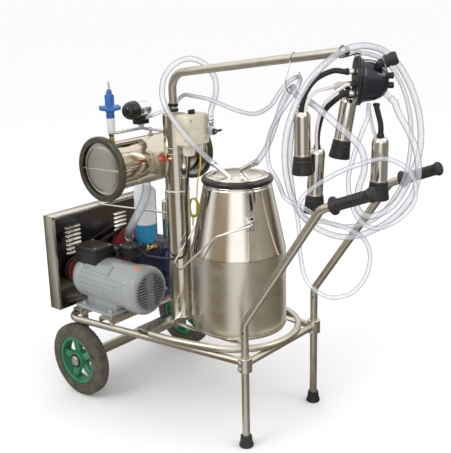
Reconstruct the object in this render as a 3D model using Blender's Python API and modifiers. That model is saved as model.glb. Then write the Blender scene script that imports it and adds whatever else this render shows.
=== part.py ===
"""Trolley milking machine with one bucket, one four-cup cluster, a belt-driven
vacuum pump and its motor.

Metres, +Z up.  Every dimension below is set out from the two legs: Z = 0 is the floor,
X = 0 is the line of the legs, +X points to the handles, -X to the wheels, and Y = 0 is
the middle of the trolley.  Last, the whole machine is moved along X so that the origin
is under the middle of its box.
"""
import bpy
import bmesh
from math import atan2, cos, hypot, pi, radians, sin, sqrt
from mathutils import Matrix, Vector

NAME = "milking_machine"
MIDDLE_X = -0.19614               # middle of the machine's box, without its hoses
GAP = 0.0003                      # clearance between touching pieces
SIDES = 16                        # steps round a turned piece

# ---- driving dimensions -------------------------------------------------------
TUBE_R = 0.0115                   # frame tube, 23 mm
RAIL_Z = 0.273
RAIL_FRONT_Y = 0.172              # half spacing of the rails at the legs
RAIL_SLOPE = 0.129                # the rails spread toward the wheels
RAIL_REAR_X = -0.722
LEG_Y = 0.180
LEG_R = 0.0118
COLLAR_R = 0.021
BEND_Z = 0.403                    # where a leg leans forward into its handle

WHEEL_X, WHEEL_R = -0.666, 0.128
RIM_R = 0.084                     # where the rubber meets the cast centre
WHEEL_Y_OUT, WHEEL_WIDTH = 0.285, 0.048

CHANNEL_BASE = RAIL_Z + TUBE_R + GAP
CHANNEL_H = 0.022
DECK_Z = CHANNEL_BASE + CHANNEL_H  # top of the channels across the rails

POST_X, POST_Y, POST_R, POST_TOP = -0.360, -0.065, 0.038, 0.975
BAR_START = Vector((-0.270, -0.066, 1.112))
BAR_END = Vector((0.262, -0.066, 1.187))
BAR_R = 0.0125

BUCKET_X, BUCKET_R = -0.166, 0.150
BUCKET_BASE, SHOULDER_Z, NECK_Z, NECK_R = 0.3025, 0.5600, 0.773, 0.106
WALL = 0.0015
EAR_Z, EAR_ANGLE = 0.675, radians(-34)

TANK_X, TANK_Z, TANK_R = -0.500, 0.815, 0.076
TANK_NEAR_Y, TANK_FAR_Y, TANK_SEAL_R = -0.262, 0.158, 0.103

MOTOR_Y, MOTOR_Z, MOTOR_R = -0.150, 0.397, 0.078
MOTOR_REAR_X, MOTOR_MID_X, MOTOR_FRONT_X = -0.740, -0.475, -0.420
PUMP_Y, PUMP_Z, PUMP_R = 0.105, 0.420, 0.070
PUMP_REAR_X, PUMP_FRONT_X = -0.720, -0.520
MOTOR_PULLEY_R, PUMP_PULLEY_R = 0.045, 0.080
PULLEY_X0, PULLEY_X1 = -0.803, -0.779
GUARD_X0, GUARD_X1 = -0.816, -0.766
GUARD_Y0, GUARD_Y1, GUARD_Z0, GUARD_Z1 = -0.256, 0.236, 0.280, 0.615

CLAW_ORIGIN = Vector((0.270, -0.066, 0.0))   # the cluster hangs under the bar's end
CLAW_TURN = radians(40)                      # and faces this way round from +X
CLAW_Z = 1.112


# ---- collections and finishes -------------------------------------------------
for leftover in list(bpy.data.objects):
    bpy.data.objects.remove(leftover)

PARTS = bpy.data.collections.new(NAME)
CUTTERS = bpy.data.collections.new("cutters")
bpy.context.scene.collection.children.link(PARTS)
bpy.context.scene.collection.children.link(CUTTERS)

FINISHES = {                      # colour, roughness, metallic
    "stainless": ((0.62, 0.60, 0.56), 0.28, 1.0),
    "polished": ((0.74, 0.72, 0.68), 0.12, 1.0),
    "satin tube": ((0.52, 0.50, 0.42), 0.38, 1.0),
    "zinc": ((0.60, 0.61, 0.62), 0.40, 1.0),
    "black rubber": ((0.018, 0.018, 0.019), 0.62, 0.0),
    "black plastic": ((0.030, 0.030, 0.032), 0.42, 0.0),
    "grey paint": ((0.55, 0.58, 0.60), 0.32, 0.0),
    "navy paint": ((0.010, 0.018, 0.090), 0.30, 0.0),
    "red paint": ((0.35, 0.020, 0.020), 0.40, 0.0),
    "blue plastic": ((0.020, 0.180, 0.420), 0.30, 0.0),
    "green casting": ((0.020, 0.300, 0.160), 0.45, 0.0),
    "cream plastic": ((0.740, 0.700, 0.560), 0.45, 0.0),
    "white plastic": ((0.80, 0.80, 0.82), 0.35, 0.0),
    "clear hose": ((0.72, 0.73, 0.80), 0.15, 0.0),
    "smoked plastic": ((0.030, 0.032, 0.060), 0.12, 0.0),
    "yellow wire": ((0.80, 0.62, 0.05), 0.45, 0.0),
}


def finish(obj, kind):
    """Give an object its own Principled material of the named kind."""
    colour, roughness, metallic = FINISHES[kind]
    material = bpy.data.materials.new(obj.name + "_" + kind.replace(" ", "_"))
    material.use_nodes = True
    shader = material.node_tree.nodes["Principled BSDF"]
    shader.inputs["Base Color"].default_value = (*colour, 1.0)
    shader.inputs["Roughness"].default_value = roughness
    shader.inputs["Metallic"].default_value = metallic
    obj.data.materials.clear()
    obj.data.materials.append(material)
    return obj


def place(data, name, cutter=False):
    """Put mesh or curve data in the scene as a part or as a cutter."""
    obj = bpy.data.objects.new(name, data)
    if cutter:
        CUTTERS.objects.link(obj)
        obj.hide_render = True
        obj.display_type = "WIRE"
    else:
        PARTS.objects.link(obj)
    return obj


def axis_matrix(origin, direction):
    """A frame at origin whose Z runs along direction."""
    turn = Vector((0, 0, 1)).rotation_difference(Vector(direction).normalized())
    return Matrix.Translation(Vector(origin)) @ turn.to_matrix().to_4x4()


# ---- basic shapes -------------------------------------------------------------
def box(name, low, high, bevel=0.0, cutter=False):
    """An upright box between two corners, its edges rounded where bevel is set."""
    low, high = Vector(low), Vector(high)
    builder = bmesh.new()
    bmesh.ops.create_cube(builder, size=1.0)
    bmesh.ops.scale(builder, vec=high - low, verts=builder.verts)
    mesh = bpy.data.meshes.new(name)
    builder.to_mesh(mesh)
    builder.free()
    obj = place(mesh, name, cutter)
    obj.location = (low + high) / 2
    if bevel:
        rounding = obj.modifiers.new("rounded edges", "BEVEL")
        rounding.width = bevel
        rounding.segments = 2
    return obj


def rod(name, start, end, radius, sides=12, cutter=False):
    """A round bar between two points."""
    start, end = Vector(start), Vector(end)
    builder = bmesh.new()
    bmesh.ops.create_cone(builder, cap_ends=True, segments=sides, radius1=radius,
                          radius2=radius, depth=(end - start).length)
    mesh = bpy.data.meshes.new(name)
    builder.to_mesh(mesh)
    builder.free()
    obj = place(mesh, name, cutter)
    obj.matrix_world = axis_matrix((start + end) / 2, end - start)
    return obj


def clearance(start, end, radius):
    """A cutter that leaves a gap round a turned piece of this radius."""
    sides = 36
    return rod("clearance", start, end, (radius + GAP) / cos(pi / sides), sides, cutter=True)


def turned(name, profile, origin=(0, 0, 0), direction=(0, 0, 1), closed=False, sides=SIDES):
    """A turned piece.  The profile is (radius, height) pairs, outer side top to bottom."""
    mesh = bpy.data.meshes.new(name)
    edges = [(i, i + 1) for i in range(len(profile) - 1)]
    if closed:
        edges.append((len(profile) - 1, 0))
    mesh.from_pydata([(r, 0, z) for r, z in profile], edges, [])
    obj = place(mesh, name)
    obj.matrix_world = axis_matrix(origin, direction)
    screw = obj.modifiers.new("turn", "SCREW")
    screw.steps = sides
    screw.render_steps = sides
    screw.use_merge_vertices = True
    screw.merge_threshold = 0.00005
    return obj


def ring_profile(outer, inner, low, high, chamfer=0.0):
    """Closed section of a plain ring."""
    c = chamfer
    return [(outer - c, high), (outer, high - c), (outer, low + c), (outer - c, low),
            (inner, low), (inner, high)]


def curve_tube(name, points, radius, roundness=2, closed=False, cutter=False):
    """A round tube or wire along a list of points, with filled ends."""
    data = bpy.data.curves.new(name, "CURVE")
    data.dimensions = "3D"
    spline = data.splines.new("POLY")
    spline.points.add(len(points) - 1)
    for target, point in zip(spline.points, points):
        target.co = (*point, 1.0)
    spline.use_cyclic_u = closed
    data.bevel_depth = radius
    data.bevel_resolution = roundness
    data.use_fill_caps = True
    return place(data, name, cutter)


def filleted(corners, radius, steps=4):
    """A polyline with each inner corner rounded by an arc."""
    corners = [Vector(c) for c in corners]
    radii = radius if isinstance(radius, (list, tuple)) else [radius] * (len(corners) - 2)
    path = [corners[0]]
    for before, corner, after, bend in zip(corners, corners[1:], corners[2:], radii):
        into = (corner - before).normalized()
        out = (after - corner).normalized()
        turn = into.angle(out)
        if turn < 0.02:
            path.append(corner)
            continue
        normal = (out - into).normalized()
        centre = corner + normal * bend / cos(turn / 2)
        trim = bend * sin(turn / 2) / cos(turn / 2)
        first = corner - into * trim - centre
        spin_axis = into.cross(out).normalized()
        for i in range(steps + 1):
            path.append(centre + Matrix.Rotation(turn * i / steps, 3, spin_axis) @ first)
    path.append(corners[-1])
    return path


def smooth_route(points, spacing, most=72):
    """Points at an even spacing on a smooth curve through the route's own points."""
    knots = [Vector(p) for p in points]
    knots = [knots[0] * 2 - knots[1]] + knots + [knots[-1] * 2 - knots[-2]]
    fine = []
    for p0, p1, p2, p3 in zip(knots, knots[1:], knots[2:], knots[3:]):
        for i in range(24):
            t = i / 24
            fine.append(0.5 * (2 * p1 + (p2 - p0) * t + (2 * p0 - 5 * p1 + 4 * p2 - p3) * t * t
                               + (3 * p1 - p0 - 3 * p2 + p3) * t ** 3))
    fine.append(knots[-2])
    length = sum((b - a).length for a, b in zip(fine, fine[1:]))
    count = min(most - 1, max(4, round(length / spacing)))
    step = length / count
    route, travelled, target = [fine[0]], 0.0, step
    for a, b in zip(fine, fine[1:]):
        stretch = (b - a).length
        while travelled + stretch >= target and len(route) < count:
            route.append(a.lerp(b, (target - travelled) / stretch))
            target += step
        travelled += stretch
    route.append(fine[-1])
    return route


def hose(name, points, radius, kind, roundness=2):
    """A free hose or cable: a plain tube on a smooth curve, its ends square to the
    pieces it meets."""
    route = smooth_route(points[1:-1], spacing=max(radius * 5.5, 0.016))
    route = [Vector(points[0])] + route + [Vector(points[-1])]
    return finish(curve_tube(name, route, radius, roundness), kind)


def extruded(name, outlines, low, high, direction="Z"):
    """A flat outline, with holes, given thickness from low to high along an axis."""
    data = bpy.data.curves.new(name, "CURVE")
    data.dimensions = "2D"
    data.fill_mode = "BOTH"
    data.extrude = (high - low) / 2
    for outline in outlines:
        spline = data.splines.new("POLY")
        spline.points.add(len(outline) - 1)
        for target, (a, b) in zip(spline.points, outline):
            target.co = (a, b, 0, 1)
        spline.use_cyclic_u = True
    obj = place(data, name)
    middle = (low + high) / 2
    if direction == "X":          # the outline lies in the Y-Z plane
        obj.matrix_world = Matrix(((0, 0, 1, middle), (1, 0, 0, 0), (0, 1, 0, 0), (0, 0, 0, 1)))
    elif direction == "Y":        # the outline lies in the X-Z plane
        obj.matrix_world = Matrix(((1, 0, 0, 0), (0, 0, -1, middle), (0, 1, 0, 0), (0, 0, 0, 1)))
    else:
        obj.matrix_world = Matrix.Translation((0, 0, middle))
    return obj


ACROSS = Vector((cos(CLAW_TURN), sin(CLAW_TURN), 0))
TOWARD = Vector((sin(CLAW_TURN), -cos(CLAW_TURN), 0))


def cluster(across, height, toward=0.0):
    """A point of the hanging cluster: across its face, height above the floor, and
    toward the side that faces out."""
    return CLAW_ORIGIN + ACROSS * across + TOWARD * toward + Vector((0, 0, height))


# ---- combining shapes ---------------------------------------------------------
def as_mesh(obj):
    """The object as a plain closed mesh with its modifiers applied."""
    bpy.context.view_layer.update()
    evaluated = obj.evaluated_get(bpy.context.evaluated_depsgraph_get())
    mesh = bpy.data.meshes.new_from_object(evaluated)
    builder = bmesh.new()
    builder.from_mesh(mesh)
    bmesh.ops.remove_doubles(builder, verts=builder.verts, dist=0.00005)
    builder.to_mesh(mesh)
    builder.free()
    name, home, matrix = obj.name, obj.users_collection[0], obj.matrix_world.copy()
    bpy.data.objects.remove(obj)
    solid = bpy.data.objects.new(name, mesh)
    home.objects.link(solid)
    solid.matrix_world = matrix
    return solid


def grouped(name, objects):
    """Several separate solids in one object."""
    builder = bmesh.new()
    for obj in objects:
        solid = as_mesh(obj)
        start = len(builder.verts)
        builder.from_mesh(solid.data)
        builder.verts.ensure_lookup_table()
        bmesh.ops.transform(builder, matrix=solid.matrix_world, verts=builder.verts[start:])
        bpy.data.objects.remove(solid)
    mesh = bpy.data.meshes.new(name)
    builder.to_mesh(mesh)
    builder.free()
    return place(mesh, name)


def boolean(target, tool, operation):
    """Join the tool to the target, or cut it away, and use the tool up."""
    tool = as_mesh(tool)
    target = as_mesh(target)
    step = target.modifiers.new(operation.lower(), "BOOLEAN")
    step.operation = operation
    step.solver = "EXACT"
    step.object = tool
    result = as_mesh(target)
    bpy.data.objects.remove(tool)
    return result


def union(target, *tools):
    for tool in tools:
        target = boolean(target, tool, "UNION")
    return target


def cut(target, *tools):
    for tool in tools:
        target = boolean(target, tool, "DIFFERENCE")
    return target


def smooth(obj, angle=35):
    """Shade a finished mesh smooth except at its real edges."""
    if obj.type == "MESH" and not obj.modifiers:
        obj.data.shade_smooth()
        obj.data.set_sharp_from_angle(angle=radians(angle))
    return obj


# ---- trolley frame ------------------------------------------------------------
def rail_y(x):
    """Half width of the frame at x, measured to the rail's centre line."""
    return RAIL_FRONT_Y - RAIL_SLOPE * x


def frame_loop():
    """The U-shaped loop of tube, welded to the two clamps that hold the legs and to
    the straight tube between them."""
    rear = rail_y(RAIL_REAR_X)
    corners = [(-0.004, -rail_y(0), RAIL_Z), (RAIL_REAR_X, -rear, RAIL_Z),
               (RAIL_REAR_X, rear, RAIL_Z), (-0.004, rail_y(0), RAIL_Z)]
    loop = curve_tube("frame_loop", filleted(corners, 0.048), TUBE_R)
    cross = curve_tube("cross", [(0, -LEG_Y, RAIL_Z), (0, LEG_Y, RAIL_Z)], TUBE_R - 0.0004)
    clamps, bores, bolts = [], [], []
    for side in (-1, 1):
        y = side * LEG_Y
        clamps.append(rod("clamp", (0, y, RAIL_Z - 0.022), (0, y, RAIL_Z + 0.022), COLLAR_R, SIDES))
        bores.append(rod("bore", (0, y, RAIL_Z - 0.05), (0, y, RAIL_Z + 0.05), LEG_R + GAP, SIDES,
                         cutter=True))
        for lift in (-0.011, 0.011):
            start = Vector((-0.004, side * (LEG_Y + COLLAR_R - 0.004), RAIL_Z + lift))
            bolts.append(rod("bolt", start, start + Vector((0, side * 0.012, 0)), 0.0062, 6))
    return smooth(finish(cut(union(loop, cross, *clamps, *bolts), *bores), "satin tube"))


def hoop_path():
    """The line of the tube round the bucket's foot, on top of the rails."""
    reach, z = 0.188, CHANNEL_BASE + TUBE_R
    path = [(-0.346, -0.232, z), (-0.290, -0.228, z), (-0.230, -0.218, z)]
    for step in range(13):
        angle = radians(-75 + 150 * step / 12)
        stretch = 1 + 0.04 * abs(sin(angle))
        path.append((BUCKET_X - 0.002 + reach * cos(angle), reach * stretch * sin(angle), z))
    return path + [(x, -y, z) for x, y, z in reversed(path[:3])]


def channel(name, x, half_length, width, z0=CHANNEL_BASE, height=CHANNEL_H, wall=0.003):
    """A steel channel across the trolley, its open side down."""
    w, top = width / 2, z0 + height
    outline = [(x - w, z0), (x - w, top), (x + w, top), (x + w, z0), (x + w - wall, z0),
               (x + w - wall, top - wall), (x - w + wall, top - wall), (x - w + wall, z0)]
    return extruded(name, [outline], -half_length, half_length, "Y")


def bucket_cradle():
    """The post's channel, the hoop round the bucket and the two bars under it, welded."""
    hoop = curve_tube("bucket_cradle", hoop_path(), TUBE_R - 0.0003)
    solid = union(hoop, channel("post channel", -0.3725, 0.238, 0.055))
    low, high = CHANNEL_BASE + 0.002, BUCKET_BASE - GAP
    for side in (-1, 1):
        y = side * 0.126
        solid = union(solid, box("bar", (-0.346, y - 0.011, low), (-0.028, y + 0.011, high)))
    return smooth(finish(solid, "satin tube"))


def front_motor_channel():
    """The channel under the front of the motor and the pump."""
    return finish(as_mesh(channel("front_motor_channel", -0.540, 0.252, 0.055)), "stainless")


def leg_path(side):
    y = side * LEG_Y
    corners = [(0, y, 0.006), (0, y, BEND_Z), (0.262, y, 0.792), (0.408, y, 0.852)]
    return filleted(corners, [0.050, 0.040], 5)


def leg(side, name):
    """One leg with its handle end, and the flared rubber foot moulded on it."""
    tube = curve_tube(name, leg_path(side), LEG_R)
    profile = [(0, 0.036), (0.0175, 0.036), (0.0180, 0.020), (0.0225, 0.004), (0.0215, 0.0), (0, 0)]
    foot = turned("foot", profile, (0, side * LEG_Y, 0), sides=24)
    return smooth(finish(union(tube, foot), "satin tube"))


def grip(side, name):
    """A rubber grip with a flange at each end."""
    start, end = Vector((0.300, 0, 0.8076)), Vector((0.408, 0, 0.852))
    along = (end - start).normalized()
    length = (end - start).length
    bore = LEG_R + GAP
    profile = [(0, length + 0.010), (0.0170, length + 0.010), (0.0200, length + 0.007),
               (0.0200, length), (0.0160, length - 0.006), (0.0160, 0.050), (0.0150, 0.012),
               (0.0185, 0.008), (0.0250, 0.004), (0.0245, 0), (bore, 0), (bore, length + GAP),
               (0, length + GAP)]
    obj = turned(name, profile, start + Vector((0, side * LEG_Y, 0)), along, sides=16)
    return smooth(finish(as_mesh(obj), "black rubber"))


# ---- axle and wheels ----------------------------------------------------------
def axle_carrier():
    """The square axle beam with its round stubs, the plates that hang it and the rear
    channel they are welded to."""
    half, inner = 0.014, WHEEL_Y_OUT - WHEEL_WIDTH - 0.004
    solid = box("axle_carrier", (WHEEL_X - half, -inner, WHEEL_R - half),
                (WHEEL_X + half, inner, WHEEL_R + half))
    stub = rod("stub", (WHEEL_X, -WHEEL_Y_OUT - 0.004, WHEEL_R),
               (WHEEL_X, WHEEL_Y_OUT + 0.004, WHEEL_R), 0.0095)
    solid = union(solid, stub)
    for side in (-1, 1):
        low, high = sorted((side * 0.222, side * 0.229))
        plate = box("plate", (WHEEL_X - 0.016, low, WHEEL_R), (WHEEL_X + 0.010, high, DECK_Z - 0.001))
        solid = union(solid, plate)
    return finish(union(solid, channel("rear channel", -0.678, 0.252, 0.040)), "satin tube")


def wheel_frame(side):
    """Where a wheel turns: its outer face, with Z outward."""
    return (WHEEL_X, side * WHEEL_Y_OUT, WHEEL_R), (0, side, 0)


def tyre(side, name):
    """A solid rubber tyre with a rounded tread."""
    origin, outward = wheel_frame(side)
    w = WHEEL_WIDTH
    profile = [(RIM_R, 0.0), (0.106, 0.0), (0.120, -0.004), (WHEEL_R - 0.001, -0.014),
               (WHEEL_R, -w / 2), (WHEEL_R - 0.001, 0.014 - w), (0.120, 0.004 - w),
               (0.106, -w), (RIM_R, -w)]
    return smooth(finish(as_mesh(turned(name, profile, origin, outward, True, 24)), "black rubber"))


def hub(side, name):
    """A cast centre with a rim, five spokes and a bored boss."""
    origin, outward = wheel_frame(side)
    base = axis_matrix(origin, outward)
    rim = turned(name, ring_profile(RIM_R - GAP, RIM_R - 0.010, -0.044, -0.006), origin, outward, True, 24)
    boss = turned("boss", ring_profile(0.028, 0.0095, -0.046, 0.0), origin, outward, True, 12)
    solid = rim
    for i in range(5):
        spoke = box("spoke", (0.018, -0.0120, -0.034), (RIM_R - 0.006, 0.0120, -0.014))
        spoke.matrix_world = (base @ Matrix.Rotation(radians(30 + 72 * i), 4, "Z")
                              @ Matrix.Translation(spoke.location))
        solid = union(solid, spoke)
    bore = rod("bore", base @ Vector((0, 0, -0.06)), base @ Vector((0, 0, 0.02)), 0.0102, 16, True)
    solid = cut(union(solid, boss), bore)
    return smooth(finish(solid, "green casting"))


# ---- post, mast and stays -----------------------------------------------------
def post():
    """The thick upright tube, closed on top, with the tank's saddle and the flat strap
    that steadies the tank's fittings welded to it."""
    low, wall = DECK_Z + GAP, 0.0018
    profile = [(0, POST_TOP), (POST_R - 0.002, POST_TOP), (POST_R, POST_TOP - 0.002), (POST_R, low),
               (POST_R - wall, low), (POST_R - wall, POST_TOP - wall), (0, POST_TOP - wall)]
    tube = turned("post", profile, (POST_X, POST_Y, 0))
    saddle = cut(box("saddle", (-0.436, -0.100, 0.775), (-0.3965, -0.030, 0.855)),
                 clearance((TANK_X, -0.2, TANK_Z), (TANK_X, 0.1, TANK_Z), TANK_R))
    strap = box("strap", (-0.512, -0.192, 0.9175), (-0.488, -0.060, 0.9215))
    arm = box("strap arm", (-0.490, -0.088, 0.9176), (-0.3962, -0.064, 0.9214))
    return smooth(finish(union(tube, saddle, union(strap, arm)), "polished"))


def mast_bar():
    """The thin tube that rises from the post and bends forward over the bucket."""
    x, y = -0.364, -0.066
    elbow = (x, y, 1.099)
    corners = [(x, y, POST_TOP + GAP), elbow, BAR_END]
    return finish(curve_tube("mast_bar", filleted(corners, 0.055, 7), BAR_R), "satin tube")


def bar_point(x, drop=0.0):
    """A point under the sloping bar, drop below its centre line."""
    slope = (BAR_END.z - BAR_START.z) / (BAR_END.x - BAR_START.x)
    return Vector((x, BAR_START.y, BAR_START.z + slope * (x - BAR_START.x) - drop))


def round_bar(x, wire, first, last):
    """Points of a wire bent round the bar at x, from one angle to another."""
    around = BAR_R + wire + GAP + 0.001
    angles = [radians(first + (last - first) * i / 7) for i in range(8)]
    return [bar_point(x) + Vector((0, around * cos(a), around * sin(a))) for a in angles]


def hose_hook():
    """A wire loop hung round the bar; the hoses pass through it."""
    wire, half = 0.0016, 0.034
    low = bar_point(0.092, 0.0955)
    path = round_bar(0.092, wire, -30, 210)
    path += [low + Vector((0, -half * a, h)) for a, h in
             ((0.75, 0.060), (1.0, 0.036), (0.75, 0.010), (0.0, 0.0), (-0.75, 0.010), (-1.0, 0.036),
              (-0.85, 0.056))]
    return finish(curve_tube("hose_hook", smooth_route(path, 0.007, 40), wire, 1), "zinc")


CLAW_EYE = (0.020, CLAW_Z + 0.068)      # the hole the claw hangs by: across, height


def cluster_hook():
    """A bent wire from the bar's end to the eye of the claw."""
    wire = 0.0016
    eye = cluster(*CLAW_EYE)
    path = round_bar(0.247, wire, -60, 200)
    path += [Vector((0.258, -0.089, 1.172)), eye + TOWARD * 0.020 + Vector((-0.004, 0, 0.002)),
             eye + TOWARD * 0.010, eye, eye - TOWARD * 0.010,
             eye - TOWARD * 0.016 + Vector((0, 0, 0.006))]
    return finish(curve_tube("cluster_hook", smooth_route(path, 0.007, 40), wire, 1), "zinc")


# ---- vacuum tank and its fittings ---------------------------------------------
PLATE_R = TANK_SEAL_R - 0.0125     # end plates of the tank, inside their seals


def tank_shell():
    """A thin cylinder, open at its near end, with a dished plate on its far end."""
    y0 = TANK_NEAR_Y + 0.014
    far = TANK_FAR_Y - 0.014 - y0
    inner = TANK_R - 0.002
    profile = [(0, far + 0.0075), (0.55 * PLATE_R, far + 0.0070), (0.80 * PLATE_R, far + 0.0050),
               (PLATE_R, far + 0.0045), (PLATE_R, far), (TANK_R, far), (TANK_R, 0), (inner, 0),
               (inner, far), (0, far + 0.002)]
    obj = turned("tank_shell", profile, (TANK_X, y0, TANK_Z), (0, 1, 0), sides=24)
    return smooth(finish(as_mesh(obj), "polished"))


def tank_cover():
    """The dished plate that closes the tank's near end."""
    profile = [(0, 0.0075), (0.55 * PLATE_R, 0.0070), (0.80 * PLATE_R, 0.0050), (PLATE_R, 0.0045),
               (PLATE_R, GAP), (0, GAP)]
    obj = turned("tank_cover", profile, (TANK_X, TANK_NEAR_Y + 0.014, TANK_Z), (0, -1, 0), sides=24)
    return smooth(finish(as_mesh(obj), "polished"))


def tank_seal(name, y, outward):
    """A thick rubber ring round an end plate."""
    inner = PLATE_R + GAP
    section = [(TANK_SEAL_R - 0.006, 0.014), (TANK_SEAL_R, 0.009), (TANK_SEAL_R, -0.001),
               (TANK_SEAL_R - 0.004, -0.005), (inner, -0.005), (inner, 0.012)]
    ring = turned(name, section, (TANK_X, y, TANK_Z), (0, outward, 0), True, 24)
    return smooth(finish(as_mesh(ring), "black rubber"))


REGULATOR = Vector((TANK_X, -0.205, TANK_Z + TANK_R))


def regulator_body():
    """The vacuum regulator: brass nipple, clear sleeve, flange and spring housing."""
    profile = [(0, 0.140), (0.0022, 0.140), (0.0022, 0.166), (0.0060, 0.166), (0.0085, 0.160),
               (0.0090, 0.152), (0.0130, 0.150), (0.0145, 0.117), (0.0330, 0.112),
               (0.0335, 0.106), (0.0300, 0.103), (0.0150, 0.102), (0.0120, 0.094),
               (0.0130, 0.088), (0.0130, 0.076), (0.0125, 0.040),
               (0.0090, 0.030), (0.0075, 0.001), (0, 0.001)]
    return smooth(finish(as_mesh(turned("regulator_body", profile, REGULATOR)), "blue plastic"))


def regulator_pin():
    """The valve's wire stem, which lifts out of the housing."""
    low, high = REGULATOR.z + 0.142, REGULATOR.z + 0.190
    stem = rod("regulator_pin", (REGULATOR.x, REGULATOR.y, low),
               (REGULATOR.x, REGULATOR.y, high), 0.0016, 12)
    return finish(stem, "zinc")


PULSATOR = Vector((TANK_X, -0.100, 0.980))
PULSATOR_OUTLET = (PULSATOR + Vector((0.008, 0.030, -0.030)),
                   PULSATOR + Vector((0.034, 0.040, -0.020)))


def pulsator_cover():
    """The black half dome on the pulsator's near end."""
    profile = [(0, 0.046), (0.009, 0.045), (0.018, 0.040), (0.025, 0.031), (0.0290, 0.019),
               (0.0300, 0.006), (0.0300, 0.0), (0, 0.0)]
    obj = turned("pulsator_cover", profile, PULSATOR, (0, -1, 0))
    return smooth(finish(as_mesh(obj), "black plastic"))


def pulsator_body():
    """Chrome barrel, valve block under it, outlet and stem."""
    barrel = turned("pulsator_body", [(0, 0.056), (0.019, 0.056), (0.0235, 0.048), (0.0245, 0.0),
                                      (0, 0.0)], PULSATOR + Vector((0, GAP, 0)), (0, 1, 0))
    x, y, z = PULSATOR
    block = box("block", (x - 0.016, y + 0.001, z - 0.047), (x + 0.016, y + 0.046, z - 0.013), 0.003)
    outlet = rod("outlet", *PULSATOR_OUTLET, 0.0062)
    stem = rod("stem", (x, y + 0.024, 0.9218), (x, y + 0.024, z - 0.040), 0.0055, 16)
    return smooth(finish(union(barrel, block, outlet, stem), "polished"))


KNOB = Vector((-0.372, -0.107, 0.842))


def valve_knob():
    """The red eight-lobed knob of the drain valve, on its spindle."""
    knob = rod("valve_knob", KNOB + Vector((0, -0.004, 0)), KNOB + Vector((0, -0.018, 0)), 0.0105)
    lobes = []
    for i in range(8):
        angle = 2 * pi * i / 8
        at = KNOB + Vector((0.0098 * cos(angle), 0, 0.0098 * sin(angle)))
        lobes.append(rod("lobe", at + Vector((0, -0.0045, 0)), at + Vector((0, -0.0175, 0)), 0.0034, 10))
    spindle = rod("spindle", KNOB + Vector((0, 0.0015, 0)), KNOB + Vector((0, -0.006, 0)), 0.0045)
    return smooth(finish(union(knob, spindle, *lobes), "red paint"))


# ---- switch box and vacuum tap ------------------------------------------------
BOX_LOW = Vector((POST_X + POST_R + GAP, -0.110, 0.852))
BOX_HIGH = Vector((-0.264, -0.012, 0.980))


TAP = Vector((-0.250, -0.020, 0.925))


def switch_box():
    """The moulded motor-switch housing with its two cable glands, and the vacuum tap on
    its side with a tapered ferrule for the hose."""
    body = box("switch_box", (BOX_LOW.x, BOX_LOW.y, BOX_LOW.z + 0.034), BOX_HIGH, 0.006)
    gland = rod("gland", (-0.298, -0.072, BOX_LOW.z), (-0.298, -0.072, BOX_LOW.z + 0.05), 0.020, 20)
    small = rod("small gland", (-0.290, -0.030, BOX_LOW.z + 0.012),
                (-0.290, -0.030, BOX_LOW.z + 0.05), 0.0095, 12)
    profile = [(0, 0.044), (0.0070, 0.044), (0.0095, 0.036), (0.0095, 0.026), (0.0070, 0.024),
               (0.0070, 0.014), (0.0110, 0.010), (0.0110, -0.012), (0, -0.012)]
    tap = turned("tap", profile, TAP)
    arm = rod("arm", TAP + Vector((-0.020, 0, 0)), TAP, 0.0065)
    return smooth(finish(union(body, gland, small, union(tap, arm)), "cream plastic"))


SWITCH_AXIS = Vector((-0.293, -0.061, BOX_HIGH.z))


def switch_knob():
    """The ribbed rotary knob on top of the switch box."""
    base = SWITCH_AXIS + Vector((0, 0, GAP))
    knob = rod("switch_knob", base, base + Vector((0, 0, 0.010)), 0.0105, 24)
    grip = box("grip", base + Vector((-0.0035, -0.013, 0.002)), base + Vector((0.0035, 0.013, 0.013)))
    return smooth(finish(union(knob, grip), "black plastic"))


def tap_lever():
    """A flat lever on a round boss in front of the tap."""
    start = TAP + Vector((0.0113, 0, 0))
    boss = rod("tap_lever", start, start + Vector((0.007, 0, 0)), 0.0085)
    bar = box("bar", start + Vector((0.002, -0.004, -0.003)), start + Vector((0.007, 0.030, 0.004)))
    return smooth(finish(union(boss, bar), "black plastic"))


# ---- motor, pump and belt drive -----------------------------------------------
def motor_frame():
    """The motor's body with its cast foot."""
    length = MOTOR_MID_X - MOTOR_REAR_X
    r = MOTOR_R
    profile = [(0, length), (r, length), (r, 0.030), (r - 0.003, 0.022), (r - 0.004, 0.010),
               (r - 0.020, 0.0), (0, 0.0)]
    body = turned("motor_frame", profile, (MOTOR_REAR_X, MOTOR_Y, MOTOR_Z), (1, 0, 0), sides=24)
    base = DECK_Z + GAP
    foot = box("foot", (-0.700, MOTOR_Y - 0.088, base), (-0.520, MOTOR_Y + 0.088, base + 0.010))
    web = box("web", (-0.680, MOTOR_Y - 0.056, base + 0.005), (-0.532, MOTOR_Y + 0.056, 0.350))
    return smooth(finish(union(body, foot, web), "grey paint"))


def fan_cover():
    """The pressed cover over the cooling fan."""
    length = MOTOR_FRONT_X - MOTOR_MID_X - GAP
    r = 0.0825
    profile = [(0, length), (0.060, length), (r - 0.008, length - 0.004), (r, length - 0.014),
               (r, 0), (r - 0.002, 0), (r - 0.002, length - 0.015), (r - 0.010, length - 0.006),
               (0, length - 0.002)]
    obj = turned("fan_cover", profile, (MOTOR_MID_X + GAP, MOTOR_Y, MOTOR_Z), (1, 0, 0), sides=24)
    return smooth(finish(as_mesh(obj), "grey paint"))


def motor_clearance():
    return clearance((-0.78, MOTOR_Y, MOTOR_Z), (-0.40, MOTOR_Y, MOTOR_Z), MOTOR_R)


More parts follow.
